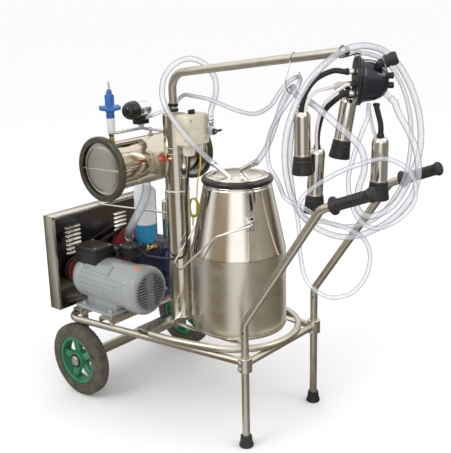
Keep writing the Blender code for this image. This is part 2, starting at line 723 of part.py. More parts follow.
def wiring_boxes():
    """The terminal box on the motor's shoulder, the capacitor box and their link."""
    body = box("wiring_boxes", (-0.730, -0.203, 0.430), (-0.622, -0.118, 0.514), 0.003)
    capacitor = box("capacitor box", (-0.622, -0.104, 0.430), (-0.556, -0.036, 0.507), 0.003)
    link = box("link", (-0.700, -0.122, 0.440), (-0.606, -0.086, 0.500), 0.002)
    return smooth(finish(cut(union(body, link, capacitor), motor_clearance()), "black plastic"))


def pulley_profile(radius, shaft_r, shaft_end):
    """A grooved pulley from height 0 to its width, on a shaft up to shaft_end."""
    width = PULLEY_X1 - PULLEY_X0
    floor = radius - 0.007
    flange = (width - 0.013) / 2
    return [(0, shaft_end), (shaft_r, shaft_end), (shaft_r, width), (radius, width),
            (radius, width - flange), (floor, width - flange), (floor, flange),
            (radius, flange), (radius, 0), (0, 0)]


def motor_pulley():
    """The small pulley and the motor's shaft."""
    profile = pulley_profile(MOTOR_PULLEY_R, 0.012, MOTOR_REAR_X - GAP - PULLEY_X0)
    obj = turned("motor_pulley", profile, (PULLEY_X0, MOTOR_Y, MOTOR_Z), (1, 0, 0), sides=24)
    return smooth(finish(as_mesh(obj), "red paint"))


def pump_pulley():
    """The large pulley and the pump's shaft."""
    profile = pulley_profile(PUMP_PULLEY_R, 0.011, PUMP_REAR_X - GAP - PULLEY_X0)
    obj = turned("pump_pulley", profile, (PULLEY_X0, PUMP_Y, PUMP_Z), (1, 0, 0), sides=24)
    return smooth(finish(as_mesh(obj), "red paint"))


def belt_outline(growth):
    """The open belt line round both pulleys, growth outside their groove floors."""
    small, large = MOTOR_PULLEY_R - 0.007 + growth, PUMP_PULLEY_R - 0.007 + growth
    dy, dz = PUMP_Y - MOTOR_Y, PUMP_Z - MOTOR_Z
    span = hypot(dy, dz)
    lean = atan2(dz, dy)
    spread = atan2(large - small, sqrt(span ** 2 - (large - small) ** 2))
    outline = []
    for centre, radius, first, last in (
            ((MOTOR_Y, MOTOR_Z), small, pi / 2 + spread, 3 * pi / 2 - spread),
            ((PUMP_Y, PUMP_Z), large, -pi / 2 - spread, pi / 2 + spread)):
        steps = 16
        for i in range(steps + 1):
            angle = lean + first + (last - first) * i / steps
            outline.append((centre[0] + radius * cos(angle), centre[1] + radius * sin(angle)))
    return outline


def drive_belt():
    """The belt that links the two pulleys."""
    middle = (PULLEY_X0 + PULLEY_X1) / 2
    outlines = [belt_outline(0.0095), belt_outline(0.0012)]
    belt = extruded("drive_belt", outlines, middle - 0.0055, middle + 0.0055, "X")
    return finish(as_mesh(belt), "black rubber")


PUMP_INLET = (Vector((-0.705, 0.062, 0.448)), Vector((-0.662, -0.002, 0.500)))


def pump_body():
    """The rotary vacuum pump: barrel, end covers, pedestal and inlet boss."""
    length = PUMP_FRONT_X - PUMP_REAR_X
    r = PUMP_R
    profile = [(0, length), (r - 0.022, length), (r, length - 0.014), (r, length - 0.030),
               (r - 0.005, length - 0.032), (r - 0.005, 0.032), (r, 0.030), (r, 0.014),
               (r - 0.024, 0), (0, 0)]
    barrel = turned("pump_body", profile, (PUMP_REAR_X, PUMP_Y, PUMP_Z), (1, 0, 0), sides=24)
    base = DECK_Z + GAP
    foot = box("foot", (-0.698, PUMP_Y - 0.075, base), (-0.530, PUMP_Y + 0.075, base + 0.012))
    web = box("web", (-0.680, PUMP_Y - 0.045, base + 0.006), (-0.548, PUMP_Y + 0.045, 0.375))
    boss = rod("boss", *PUMP_INLET, 0.017, 16)
    return smooth(finish(union(barrel, foot, web, boss), "navy paint"))


def pump_clearance():
    return clearance((-0.75, PUMP_Y, PUMP_Z), (-0.45, PUMP_Y, PUMP_Z), PUMP_R)


OILER = Vector((-0.585, 0.003, 0.0))


def oiler_base():
    """The lubricator's cup and the brass elbow that feeds the pump."""
    cup = turned("oiler_base", [(0, 0.566), (0.0375, 0.566), (0.0375, 0.520), (0.034, 0.505),
                                (0.022, 0.492), (0.010, 0.488), (0, 0.488)], OILER)
    elbow = rod("elbow", (OILER.x, OILER.y, 0.470), (OILER.x, OILER.y, 0.490), 0.008, 16)
    feed = rod("feed", (OILER.x, OILER.y - 0.004, 0.470), (OILER.x, 0.0500, 0.470), 0.008, 16)
    return smooth(finish(cut(union(cup, elbow, feed), pump_clearance()), "blue plastic"))


def oiler_bottle():
    """The translucent oil bottle."""
    base = 0.566 + GAP
    profile = [(0, 0.697), (0.030, 0.697), (0.0360, 0.690), (0.0370, 0.680), (0.0370, base),
               (0, base)]
    return smooth(finish(as_mesh(turned("oiler_bottle", profile, OILER)), "white plastic"))


MUFFLER = Vector((-0.545, 0.072, 0.0))


def muffler():
    """The exhaust silencer on the pump, with its bent outlet pipe."""
    body = turned("muffler", [(0, 0.642), (0.014, 0.642), (0.0195, 0.636), (0.0195, 0.505),
                              (0.012, 0.500), (0.012, 0.470), (0, 0.470)], MUFFLER)
    bend = [(0, 0, 0.636), (0, 0, 0.658), (0.004, -0.004, 0.672), (0.014, -0.006, 0.682),
            (0.026, -0.004, 0.684)]
    pipe = curve_tube("pipe", [MUFFLER + Vector(p) for p in bend], 0.0065)
    return smooth(finish(cut(union(body, pipe), pump_clearance()), "polished"))


def belt_guard():
    """A shallow pan behind the pulleys, with two groups of seven louvre slots."""
    t = 0.0018
    pan = box("belt_guard", (GUARD_X0, GUARD_Y0, GUARD_Z0), (GUARD_X1, GUARD_Y1, GUARD_Z1))
    inside = box("inside", (GUARD_X0 + t, GUARD_Y0 + t, GUARD_Z0 + t),
                 (GUARD_X1 + 0.01, GUARD_Y1 - t, GUARD_Z1 - t), cutter=True)
    pan = cut(pan, inside)
    slots = []
    for y0, y1 in ((-0.169, -0.105), (0.059, 0.117)):
        for i in range(7):
            z = 0.4525 + 0.0155 * i
            slots.append(box("slot", (GUARD_X0 - 0.01, y0, z), (GUARD_X0 + 0.004, y1, z + 0.0065),
                             cutter=True))
    pan = cut(pan, grouped("slots", slots))
    stay = rod("stay", (GUARD_X1 - 0.010, -0.045, GUARD_Z1 + 0.001), (-0.4005, -0.070, 0.650),
               0.0035, 10)
    pan = union(pan, stay)
    for side in (-1, 1):
        y = side * 0.15
        bracket = box("bracket", (-0.806, y - 0.02, GUARD_Z0 - 0.006),
                      (RAIL_REAR_X - TUBE_R - GAP, y + 0.02, GUARD_Z0 + 0.001))
        pan = union(pan, bracket)
    return finish(pan, "stainless")


# ---- bucket -------------------------------------------------------------------
EAR_OUT = Vector((cos(EAR_ANGLE), sin(EAR_ANGLE), 0))
EAR_SIDE = Vector((sin(EAR_ANGLE), -cos(EAR_ANGLE), 0))
BUCKET = Vector((BUCKET_X, 0, 0))


def bucket_body():
    """The bucket: straight wall, long cone, rolled rim and two bail ears."""
    b, r, w = BUCKET_BASE, BUCKET_R, WALL
    outer = [(NECK_R, NECK_Z), (NECK_R - 0.001, NECK_Z - 0.006), (r - 0.004, SHOULDER_Z + 0.014),
             (r, SHOULDER_Z), (r, b + 0.012), (r - 0.003, b + 0.004), (r - 0.008, b), (0, b)]
    inner = [(0, b + w), (r - 0.008 - w, b + w), (r - w, b + 0.012), (r - w, SHOULDER_Z),
             (r - 0.004 - w, SHOULDER_Z + 0.014), (NECK_R - 0.001 - w, NECK_Z - 0.006),
             (NECK_R - w, NECK_Z)]
    shell = turned("bucket_body", inner + outer, BUCKET, sides=28)
    ears = []
    for side in (-1, 1):
        root = BUCKET + Vector((0, 0, EAR_Z)) + EAR_OUT * side * 0.1262
        ears.append(rod("ear", root, root + EAR_OUT * side * 0.0145, 0.0115, 20))
    return smooth(finish(union(shell, *ears), "stainless"), 25)


SEAL_H = 0.018


def bucket_seal():
    """The rubber ring between the rim and the lid."""
    z = NECK_Z + GAP
    section = [(0.108, z + SEAL_H), (0.112, z + 0.013), (0.112, z + 0.006), (0.108, z),
               (0.090, z), (0.090, z + SEAL_H)]
    ring = turned("bucket_seal", section, BUCKET, closed=True, sides=24)
    return smooth(finish(as_mesh(ring), "black rubber"))


LID_Z = NECK_Z + SEAL_H + 2 * GAP
LEFT_NIPPLE = [Vector((-0.143, -0.060, 0.7985)), Vector((-0.198, -0.062, 0.830))]
RIGHT_NIPPLE = [Vector((-0.097, -0.038, 0.7975)), Vector((-0.112, -0.050, 0.823)),
                Vector((-0.069, -0.042, 0.848))]


def bucket_lid():
    """The domed lid with the vacuum nipple and the bent milk inlet welded on."""
    z = LID_Z
    profile = [(0, z + 0.0105), (0.060, z + 0.009), (0.084, z + 0.0065), (0.090, z + 0.0035),
               (0.098, z + 0.003), (0.098, z), (0.088, z), (0.080, z + 0.0035),
               (0.058, z + 0.0055), (0, z + 0.0070)]
    lid = turned("bucket_lid", profile, BUCKET, sides=24)
    for path, radius in ((LEFT_NIPPLE, 0.0075), (RIGHT_NIPPLE, 0.0085)):
        foot = path[0]
        flange = rod("flange", foot, foot + Vector((0, 0, 0.006)), 0.0125, 16)
        pipe = curve_tube("pipe", filleted(path, 0.010), radius)
        under = box("under", foot + Vector((-0.03, -0.03, -0.03)),
                    foot + Vector((0.03, 0.03, 0.0002)), cutter=True)
        lid = union(lid, cut(union(pipe, flange), under))
    return smooth(finish(lid, "polished"), 25)


def bucket_bail():
    """The wire handle, hanging against the bucket's side."""
    axis = BUCKET + Vector((0, 0, EAR_Z))
    half_way = EAR_SIDE * 0.100 + Vector((0, 0, -0.042))
    drop = EAR_SIDE * 0.200 + Vector((0, 0, -0.155))
    tip, wide, middle, narrow = 0.1410, 0.156, 0.100, 0.040
    path = []
    for side in (1, -1):
        arm = [axis + EAR_OUT * side * tip, axis + EAR_OUT * side * wide,
               axis + EAR_OUT * side * middle + half_way,
               axis + EAR_OUT * side * narrow + drop]
        path += arm if side == 1 else arm[::-1]
    wire = curve_tube("bucket_bail", filleted(path, [0.006, 0.03, 0.014, 0.014, 0.03, 0.006], 3), 0.0030, 1)
    wire = as_mesh(wire)
    wire.data.transform(Matrix.Translation(-axis))
    wire.matrix_world = Matrix.Translation(axis)
    return smooth(finish(wire, "stainless"))


# ---- milking cluster ----------------------------------------------------------
def claw_base():
    """The claw's rubber-edged disc with its milk and pulse nipples."""
    centre = cluster(0.014, CLAW_Z)
    disc = turned("claw_base", [(0, 0.014), (0.060, 0.014), (0.064, 0.011), (0.064, 0.003),
                                (0.060, 0), (0, 0)], centre, ACROSS, sides=20)
    stubs = []
    for height, toward, radius in ((0.024, 0.004, 0.0075), (-0.030, 0.012, 0.0075),
                                   (-0.036, -0.028, 0.0075), (-0.006, 0.0, 0.005),
                                   (-0.006, 0.030, 0.005), (-0.010, -0.034, 0.005)):
        at = cluster(0.016, CLAW_Z + height, toward)
        stubs.append(rod("stub", at, at - ACROSS * 0.018, radius))
    eye = cluster(*CLAW_EYE)
    lug = rod("lug", eye - TOWARD * 0.004, eye + TOWARD * 0.004, 0.0100, 16)
    hole = rod("hole", eye - TOWARD * 0.01, eye + TOWARD * 0.01, 0.0058, 12, True)
    return smooth(finish(cut(union(disc, lug, *stubs), hole), "black plastic"))


CLAW_OUTLET = ((0.085, CLAW_Z - 0.026, 0.010), (0.104, CLAW_Z - 0.044, 0.012))


SHUTOFF = ((0.080, CLAW_Z + 0.050, 0.042), (0.112, CLAW_Z + 0.062, 0.048))


def claw_bowl():
    """The smoked bowl that collects the milk."""
    centre = cluster(0.028 + GAP, CLAW_Z)
    profile = [(0, 0.072), (0.020, 0.071), (0.034, 0.064), (0.045, 0.050), (0.052, 0.030),
               (0.055, 0.010), (0.057, 0.0), (0, 0)]
    bowl = turned("claw_bowl", profile, centre, ACROSS, sides=20)
    seat, button = (cluster(*p) for p in SHUTOFF)
    along = (button - seat).normalized()
    neck = union(rod("neck", cluster(0.058, CLAW_Z + 0.028, 0.022), seat - along * 0.008, 0.010),
                 rod("seat", seat - along * 0.014, seat, 0.011))
    outlet = rod("outlet", *(cluster(*p) for p in CLAW_OUTLET), 0.0082)
    small = [rod("nipple", cluster(0.085, CLAW_Z + h, t), cluster(0.112, CLAW_Z + h, t), 0.006)
             for h, t in ((0.012, 0.006), (-0.012, 0.010))]
    return smooth(finish(union(bowl, neck, outlet, *small), "smoked plastic"))


def claw_shutoff():
    """The rubber button over the claw's shut-off valve, which is pulled out."""
    start, end = (cluster(*p) for p in SHUTOFF)
    along = (end - start).normalized()
    cap = rod("claw_shutoff", start + along * GAP, end, 0.0165, 24)
    return smooth(finish(cap, "black rubber"))


CUPS = (                           # top and bottom of each shell, in the cluster's frame
    ((-0.122, 1.036, 0.000), (-0.120, 0.918, 0.000)),
    ((-0.078, 0.930, -0.034), (-0.083, 0.802, -0.034)),
    ((0.012, 1.058, -0.076), (-0.006, 0.944, -0.074)),
    ((0.083, 0.965, 0.010), (0.082, 0.847, 0.010)),
)


def cup_axis(i):
    top, bottom = (cluster(*end) for end in CUPS[i])
    return top, bottom, (bottom - top).normalized()


MILK_TUBES = (                     # from the claw to each cup's top
    ((-0.0026, CLAW_Z + 0.024, 0.004), (-0.012, CLAW_Z + 0.024, 0.004), (-0.045, 1.138, 0.002),
     (-0.088, 1.117, 0.002), (-0.115, 1.078, 0.001)),
    ((-0.0026, CLAW_Z - 0.030, 0.012), (-0.012, CLAW_Z - 0.030, 0.012), (-0.038, 1.063, 0.006),
     (-0.064, 1.030, -0.014), (-0.076, 0.980, -0.030)),
    ((-0.0026, CLAW_Z - 0.036, -0.028), (-0.010, CLAW_Z - 0.036, -0.028), (-0.016, 1.086, -0.050),
     (-0.004, 1.092, -0.070), (0.010, 1.080, -0.077)),
    ((0.070, CLAW_Z - 0.058, 0.008), (0.070, CLAW_Z - 0.066, 0.008), (0.082, 1.000, 0.010)),
)
PULSE_TUBES = (                    # from the claw to each shell's shoulder
    ((-0.0026, CLAW_Z - 0.006, 0.0), (-0.012, CLAW_Z - 0.006, 0.0), (-0.050, 1.096, 0.010),
     (-0.088, 1.088, 0.016), (-0.108, 1.066, 0.018)),
    ((-0.0026, CLAW_Z - 0.006, 0.030), (-0.012, CLAW_Z - 0.006, 0.030), (-0.042, 1.084, 0.026),
     (-0.070, 1.045, 0.008), (-0.082, 0.985, -0.010)),
    ((-0.0026, CLAW_Z - 0.010, -0.034), (-0.010, CLAW_Z - 0.010, -0.034), (-0.026, 1.098, -0.056),
     (-0.026, 1.084, -0.076), (-0.014, 1.072, -0.078)),
    ((0.052, CLAW_Z - 0.064, -0.004), (0.052, CLAW_Z - 0.072, -0.004), (0.064, 0.985, 0.004)),
)


def cup_shell(i):
    """A steel teat-cup shell with the short pulse tube on its shoulder."""
    top, bottom, down = cup_axis(i)
    length = (bottom - top).length
    profile = [(0.0098, 0), (0.0170, 0), (0.0215, -0.008), (0.0222, -0.014),
               (0.0222, -length), (0.0206, -length), (0.0206, -0.014), (0.0160, -0.003),
               (0.0098, -0.003)]
    name = "cup_shell_" + str(i + 1)
    shell = turned(name, profile, top, -down, True, 14)
    route = [cluster(*p) for p in PULSE_TUBES[i]]
    side = route[-1] - top
    side = (side - down * side.dot(down)).normalized()
    route += [top - down * 0.006 + side * 0.0145, top + down * 0.0015 + side * 0.0145]
    route = route[:1] + smooth_route(route[1:], 0.014)
    tube = curve_tube("pulse tube", route, 0.0045, 2)
    return smooth(finish(union(shell, tube), "polished"))


def cup_liner(i):
    """A rubber liner: mouthpiece, barrel in the shell, and short milk tube to the claw."""
    top, bottom, down = cup_axis(i)
    profile = [(0, 0.034), (0.0180, 0.034), (0.0180, -GAP), (0.0240, -GAP), (0.0262, -0.020),
               (0.0290, -0.046), (0.0260, -0.050), (0.0130, -0.050), (0.0110, -0.045),
               (0.0110, 0.028), (0, 0.028)]
    name = "cup_liner_" + str(i + 1)
    liner = turned(name, profile, bottom, -down, sides=14)
    route = [cluster(*p) for p in MILK_TUBES[i]] + [top - down * 0.004, top + down * 0.020,
                                                    bottom - down * 0.031]
    route = route[:1] + smooth_route(route[1:], 0.018)
    tube = curve_tube("milk tube", route, 0.0072, 2)
    return smooth(finish(union(liner, tube), "black rubber"))


# ---- free hoses and cables ----------------------------------------------------
VACUUM_HOSE = [                    # from the tap, over the bar and down to the lid
    (-0.240, -0.020, 1.010), (-0.222, -0.024, 1.050), (-0.226, -0.028, 1.094),
    (-0.254, -0.038, 1.130), (-0.292, -0.060, 1.146), (-0.330, -0.088, 1.130),
    (-0.356, -0.108, 1.090), (-0.361, -0.115, 1.042), (-0.336, -0.126, 1.003),
    (-0.285, -0.134, 0.956), (-0.243, -0.110, 0.898), (-0.2240, -0.066, 0.848)]

MILK_HOSE_CLUSTER = [              # in the cluster's frame, from the claw's outlet round
    (0.126, 1.030, 0.016), (0.154, 0.980, 0.020), (0.176, 0.925, 0.024), (0.182, 0.860, 0.026),
    (0.163, 0.800, 0.026), (0.117, 0.745, 0.022), (0.051, 0.704, 0.014), (-0.020, 0.694, 0.006),
    (-0.093, 0.726, -0.004), (-0.142, 0.790, -0.014), (-0.166, 0.894, -0.004),
    (-0.158, 1.000, 0.010), (-0.114, 1.104, 0.024), (-0.041, 1.178, 0.020),
    (0.030, 1.200, 0.004), (0.102, 1.176, -0.020), (0.158, 1.105, -0.030),
    (0.190, 1.014, -0.026), (0.192, 0.926, -0.010), (0.165, 0.850, 0.002), (0.118, 0.790, 0.040),
    (0.060, 0.762, 0.052), (0.020, 0.785, 0.062), (0.020, 0.840, 0.066), (0.034, 0.895, 0.064),
    (0.022, 0.950, 0.062), (-0.035, 1.006, 0.060), (-0.074, 1.040, 0.040),
    (-0.096, 1.056, 0.002), (-0.114, 1.065, -0.022), (-0.133, 1.073, -0.034)]
MILK_HOSE_BUCKET = [               # on through the hook and down to the lid
    (0.122, -0.104, 1.083), (0.092, -0.067, 1.0850), (0.066, -0.060, 1.064),
    (0.044, -0.058, 1.025), (0.020, -0.054, 0.970), (-0.016, -0.044, 0.905)]

PULSE_HOSE_PULSATOR = [            # from the pulsator past the mast and through the hook
    (-0.432, -0.038, 0.977), (-0.398, -0.016, 1.005), (-0.350, -0.028, 1.030), (-0.300, -0.045, 1.032),
    (-0.235, -0.057, 1.030), (-0.165, -0.064, 1.018), (-0.095, -0.068, 1.004),
    (-0.030, -0.076, 1.004), (0.025, -0.082, 1.030), (0.060, -0.086, 1.070),
    (0.092, -0.085, 1.102), (0.125, -0.090, 1.117), (0.150, -0.116, 1.108),
    (0.146, -0.147, 1.072), (0.112, -0.152, 1.026), (0.070, -0.138, 0.974),
    (0.046, -0.122, 0.920), (0.052, -0.122, 0.870), (0.092, -0.138, 0.838)]
PULSE_HOSE_CLUSTER = [             # in the cluster's frame, back to the claw
    (-0.164, 0.804, 0.012), (-0.116, 0.780, 0.020), (-0.060, 0.742, 0.024), (0.000, 0.728, 0.026),
    (0.077, 0.738, -0.004), (0.132, 0.800, -0.010), (0.160, 0.866, -0.016), (0.172, 0.950, -0.030),
    (0.166, 1.030, -0.046), (0.142, 1.100, -0.052), (0.096, 1.158, -0.044),
    (0.030, 1.180, -0.032), (-0.036, 1.170, -0.060), (-0.100, 1.094, -0.050),
    (-0.138, 1.004, -0.040), (-0.150, 0.900, -0.036), (-0.140, 0.800, -0.040),
    (-0.128, 0.720, -0.024), (-0.124, 0.640, -0.004), (-0.110, 0.574, 0.012),
    (-0.075, 0.538, 0.022), (-0.033, 0.526, 0.030), (0.014, 0.542, 0.036),
    (0.048, 0.588, 0.042), (0.058, 0.648, 0.050), (0.040, 0.700, 0.058),
    (-0.010, 0.738, 0.074), (-0.066, 0.748, 0.048), (-0.112, 0.752, 0.040),
    (-0.134, 0.790, 0.044), (-0.110, 0.832, 0.050), (-0.047, 0.880, 0.070),
    (0.019, 0.912, 0.090), (0.085, 0.918, 0.060), (0.138, 0.896, 0.060),
    (0.168, 0.850, 0.058), (0.166, 0.796, 0.056), (0.126, 0.752, 0.058), (0.066, 0.736, 0.076),
    (0.020, 0.764, 0.086), (0.000, 0.810, 0.075), (-0.004, 0.860, 0.045), (0.010, 0.920, 0.035),
    (0.030, 0.980, 0.030)]

SUCTION_HOSE = [(TANK_X, -0.066, TANK_Z - TANK_R - 0.0012), (TANK_X, -0.066, 0.716),
                (-0.502, -0.072, 0.690), (-0.515, -0.083, 0.652), (-0.548, -0.086, 0.602),
                (-0.592, -0.067, 0.558)]

MOTOR_CABLE = [(-0.298, -0.072, BOX_LOW.z - GAP), (-0.298, -0.072, 0.835),
               (-0.300, -0.078, 0.790), (-0.303, -0.086, 0.730), (-0.302, -0.090, 0.660),
               (-0.299, -0.094, 0.596), (-0.300, -0.099, 0.556), (-0.310, -0.105, 0.528),
               (-0.345, -0.116, 0.516), (-0.400, -0.125, 0.512), (-0.460, -0.118, 0.506),
               (-0.505, -0.090, 0.498), (-0.532, -0.070, 0.493), (-0.5555, -0.070, 0.493)]

EARTH_COIL = [(-0.341 + 0.018 * cos(t * pi / 6), -0.019 + 0.00052 * t, 0.664 - 0.031 * sin(t * pi / 6))
              for t in range(29)]     # the spare wire, in a little over two turns
EARTH_WIRE = [(-0.290, -0.030, BOX_LOW.z + 0.0114), (-0.290, -0.030, 0.845),
              (-0.296, -0.026, 0.800), (-0.313, -0.020, 0.760), (-0.320, -0.019, 0.708),
              *EARTH_COIL, (-0.354, -0.004, 0.620), (-0.355, -0.005, 0.600)]


def beyond(path, distance):
    """A point past the end of a pipe, along its last stretch."""
    return path[-1] + (path[-1] - path[-2]).normalized() * distance


def free_hoses():
    ferrule = [TAP, TAP + Vector((0, 0, 0.044))]
    vacuum = [beyond(ferrule, GAP), beyond(ferrule, 0.020)] + [Vector(p) for p in VACUUM_HOSE]
    vacuum += [beyond(LEFT_NIPPLE, 0.020), beyond(LEFT_NIPPLE, GAP)]
    outlet = [cluster(*p) for p in CLAW_OUTLET]
    milk = [beyond(outlet, GAP), beyond(outlet, 0.018)]
    milk += [cluster(*p) for p in MILK_HOSE_CLUSTER] + [Vector(p) for p in MILK_HOSE_BUCKET]
    milk += [beyond(RIGHT_NIPPLE, 0.018), beyond(RIGHT_NIPPLE, GAP)]
    pulse = [beyond(PULSATOR_OUTLET, GAP), beyond(PULSATOR_OUTLET, 0.012)]
    pulse += [Vector(p) for p in PULSE_HOSE_PULSATOR]
    pulse += [cluster(*p) for p in PULSE_HOSE_CLUSTER]
    pulse += [cluster(0.048, CLAW_Z - 0.090, 0.022), cluster(0.048, CLAW_Z - 0.0565, 0.022)]
    suction = SUCTION_HOSE + [beyond(PUMP_INLET, 0.036), beyond(PUMP_INLET, GAP)]
    hose("vacuum_hose", vacuum, 0.0085, "clear hose")
    hose("milk_hose", milk, 0.0085, "clear hose")
    hose("pulse_hose", pulse, 0.0060, "clear hose")
    hose("suction_hose", suction, 0.0140, "clear hose", 3)
    hose("motor_cable", MOTOR_CABLE, 0.0040, "black rubber")
    hose("earth_wire", EARTH_WIRE, 0.0022, "yellow wire", 1)


# ---- assembly -----------------------------------------------------------------
def build():
    frame_loop()
    bucket_cradle()
    front_motor_channel()
    axle_carrier()
    for side, where in ((-1, "near"), (1, "far")):
        leg(side, "leg_" + where)
        grip(side, "grip_" + where)
        tyre(side, "tyre_" + where)
        hub(side, "hub_" + where)
    post()
    mast_bar()
    hose_hook()
    cluster_hook()
    tank_shell()
    tank_cover()
    tank_seal("tank_seal_near", TANK_NEAR_Y + 0.014, -1)
    tank_seal("tank_seal_far", TANK_FAR_Y - 0.014, 1)
    regulator_body()
    regulator_pin()
    pulsator_cover()
    pulsator_body()
    valve_knob()
    switch_box()
    switch_knob()
    tap_lever()
    motor_frame()
    fan_cover()
    wiring_boxes()
    motor_pulley()
    pump_pulley()
    drive_belt()
    pump_body()
    oiler_base()
    oiler_bottle()
    muffler()
    belt_guard()
    bucket_body()
    bucket_seal()
    bucket_lid()
    bucket_bail()
    claw_base()
    claw_bowl()
    claw_shutoff()
    for i in range(4):
        cup_shell(i)
        cup_liner(i)
    free_hoses()
    stand_on_origin()


def stand_on_origin():
    """Move the machine so that the origin is under its middle."""
    bpy.context.view_layer.update()
    for obj in PARTS.objects:
        obj.matrix_world = Matrix.Translation((-MIDDLE_X, 0, 0)) @ obj.matrix_world


build()
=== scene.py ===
"""The looks of the trolley milking machine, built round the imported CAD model.

Metres, +Z up; only mm() takes millimetres.  Sizes are set out from the legs as in the CAD
source: Z = 0 is the floor, X = 0 is the line of the legs, +X points to the handles and Y = 0
is the middle.  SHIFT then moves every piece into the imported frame.
"""
from math import atan2, cos, hypot, pi, radians, sin, sqrt

import bmesh
import bpy
from mathutils import Matrix, Vector

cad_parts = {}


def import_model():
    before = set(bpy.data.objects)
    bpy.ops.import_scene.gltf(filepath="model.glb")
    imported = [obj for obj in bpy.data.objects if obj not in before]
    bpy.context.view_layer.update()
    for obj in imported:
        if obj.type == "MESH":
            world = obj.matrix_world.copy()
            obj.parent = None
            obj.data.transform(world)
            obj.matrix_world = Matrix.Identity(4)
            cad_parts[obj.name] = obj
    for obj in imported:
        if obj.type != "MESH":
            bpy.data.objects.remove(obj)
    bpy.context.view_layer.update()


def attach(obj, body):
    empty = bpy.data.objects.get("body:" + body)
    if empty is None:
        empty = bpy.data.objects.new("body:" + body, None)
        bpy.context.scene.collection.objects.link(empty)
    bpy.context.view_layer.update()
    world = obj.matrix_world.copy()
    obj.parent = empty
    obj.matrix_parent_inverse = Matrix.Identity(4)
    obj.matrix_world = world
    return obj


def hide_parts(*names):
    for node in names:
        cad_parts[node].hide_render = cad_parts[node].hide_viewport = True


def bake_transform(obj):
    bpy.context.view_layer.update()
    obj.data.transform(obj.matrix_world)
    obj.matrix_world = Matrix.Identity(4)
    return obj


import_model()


def vec(x, y, z):
    """A point or a direction."""
    return Vector((x, y, z))


def mm(*points):
    """Points given in millimetres, as a list in metres."""
    return [tuple(value / 1000 for value in point) for point in points]


UP, FORE = (0, 0, 1), (1, 0, 0)       # fore is toward the handles
NEAR, FAR = (0, -1, 0), (0, 1, 0)     # near is the motor's side
SHIFT = vec(0.19614, 0.0, 0.0)        # from the legs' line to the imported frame's origin
GAP = 0.0003                          # clearance between touching pieces
SHARP_FROM = radians(32)              # faces that meet at more than this show an edge
HOSE_SHARP_FROM = radians(40)
NEARLY_STRAIGHT = radians(172)        # a corner this open isn't rounded
MOST_POINTS = 900                     # along one hose or wire

# ---- driving dimensions, as in the CAD source: _R is a radius, _H a height -------------
TUBE_R, RAIL_Z, RAIL_FRONT_Y, RAIL_SLOPE, RAIL_REAR_X = 0.0115, 0.273, 0.172, 0.129, -0.722
LEG_Y, LEG_R, COLLAR_R, BEND_Z = 0.180, 0.0118, 0.021, 0.403
WHEEL_X, WHEEL_R, WHEEL_Y_OUT, WHEEL_WIDTH = -0.666, 0.128, 0.285, 0.048
RIM_R = 0.084                          # where the rubber meets the cast centre
CHANNEL_BASE, CHANNEL_H = RAIL_Z + TUBE_R + GAP, 0.022
DECK_Z = CHANNEL_BASE + CHANNEL_H
POST_X, POST_Y, POST_R, POST_TOP = -0.360, -0.065, 0.038, 0.975
BAR_START, BAR_END, BAR_R = vec(-0.270, -0.066, 1.112), vec(0.262, -0.066, 1.187), 0.0125
BUCKET_X, BUCKET_R, BUCKET_BASE, SHOULDER_Z = -0.166, 0.150, 0.3025, 0.5600
NECK_Z, NECK_R, WALL, EAR_Z, EAR_ANGLE = 0.773, 0.106, 0.0015, 0.675, radians(-34)
TANK_X, TANK_Z, TANK_R, TANK_NEAR_Y, TANK_FAR_Y = -0.500, 0.815, 0.076, -0.262, 0.158
TANK_SEAL_R = 0.103
PLATE_R = TANK_SEAL_R - 0.0125
MOTOR_Y, MOTOR_Z, MOTOR_R = -0.150, 0.397, 0.078
MOTOR_REAR_X, MOTOR_MID_X, MOTOR_FRONT_X = -0.740, -0.475, -0.420
PUMP_Y, PUMP_Z, PUMP_R, PUMP_REAR_X, PUMP_FRONT_X = 0.105, 0.420, 0.070, -0.720, -0.520
MOTOR_PULLEY_R, PUMP_PULLEY_R, PULLEY_X0, PULLEY_X1 = 0.045, 0.080, -0.803, -0.779
GUARD_X0, GUARD_X1, GUARD_Y0, GUARD_Y1 = -0.816, -0.766, -0.256, 0.236
GUARD_Z0, GUARD_Z1 = 0.280, 0.615
CLAW_ORIGIN, CLAW_TURN, CLAW_Z = vec(0.270, -0.066, 0.0), radians(40), 1.112
ACROSS = vec(cos(CLAW_TURN), sin(CLAW_TURN), 0)
TOWARD = vec(sin(CLAW_TURN), -cos(CLAW_TURN), 0)


def cluster(across, height, toward=0.0):
    """A point of the hanging cluster: across its face, height, and toward the front."""
    return CLAW_ORIGIN + ACROSS * across + TOWARD * toward + vec(0, 0, height)


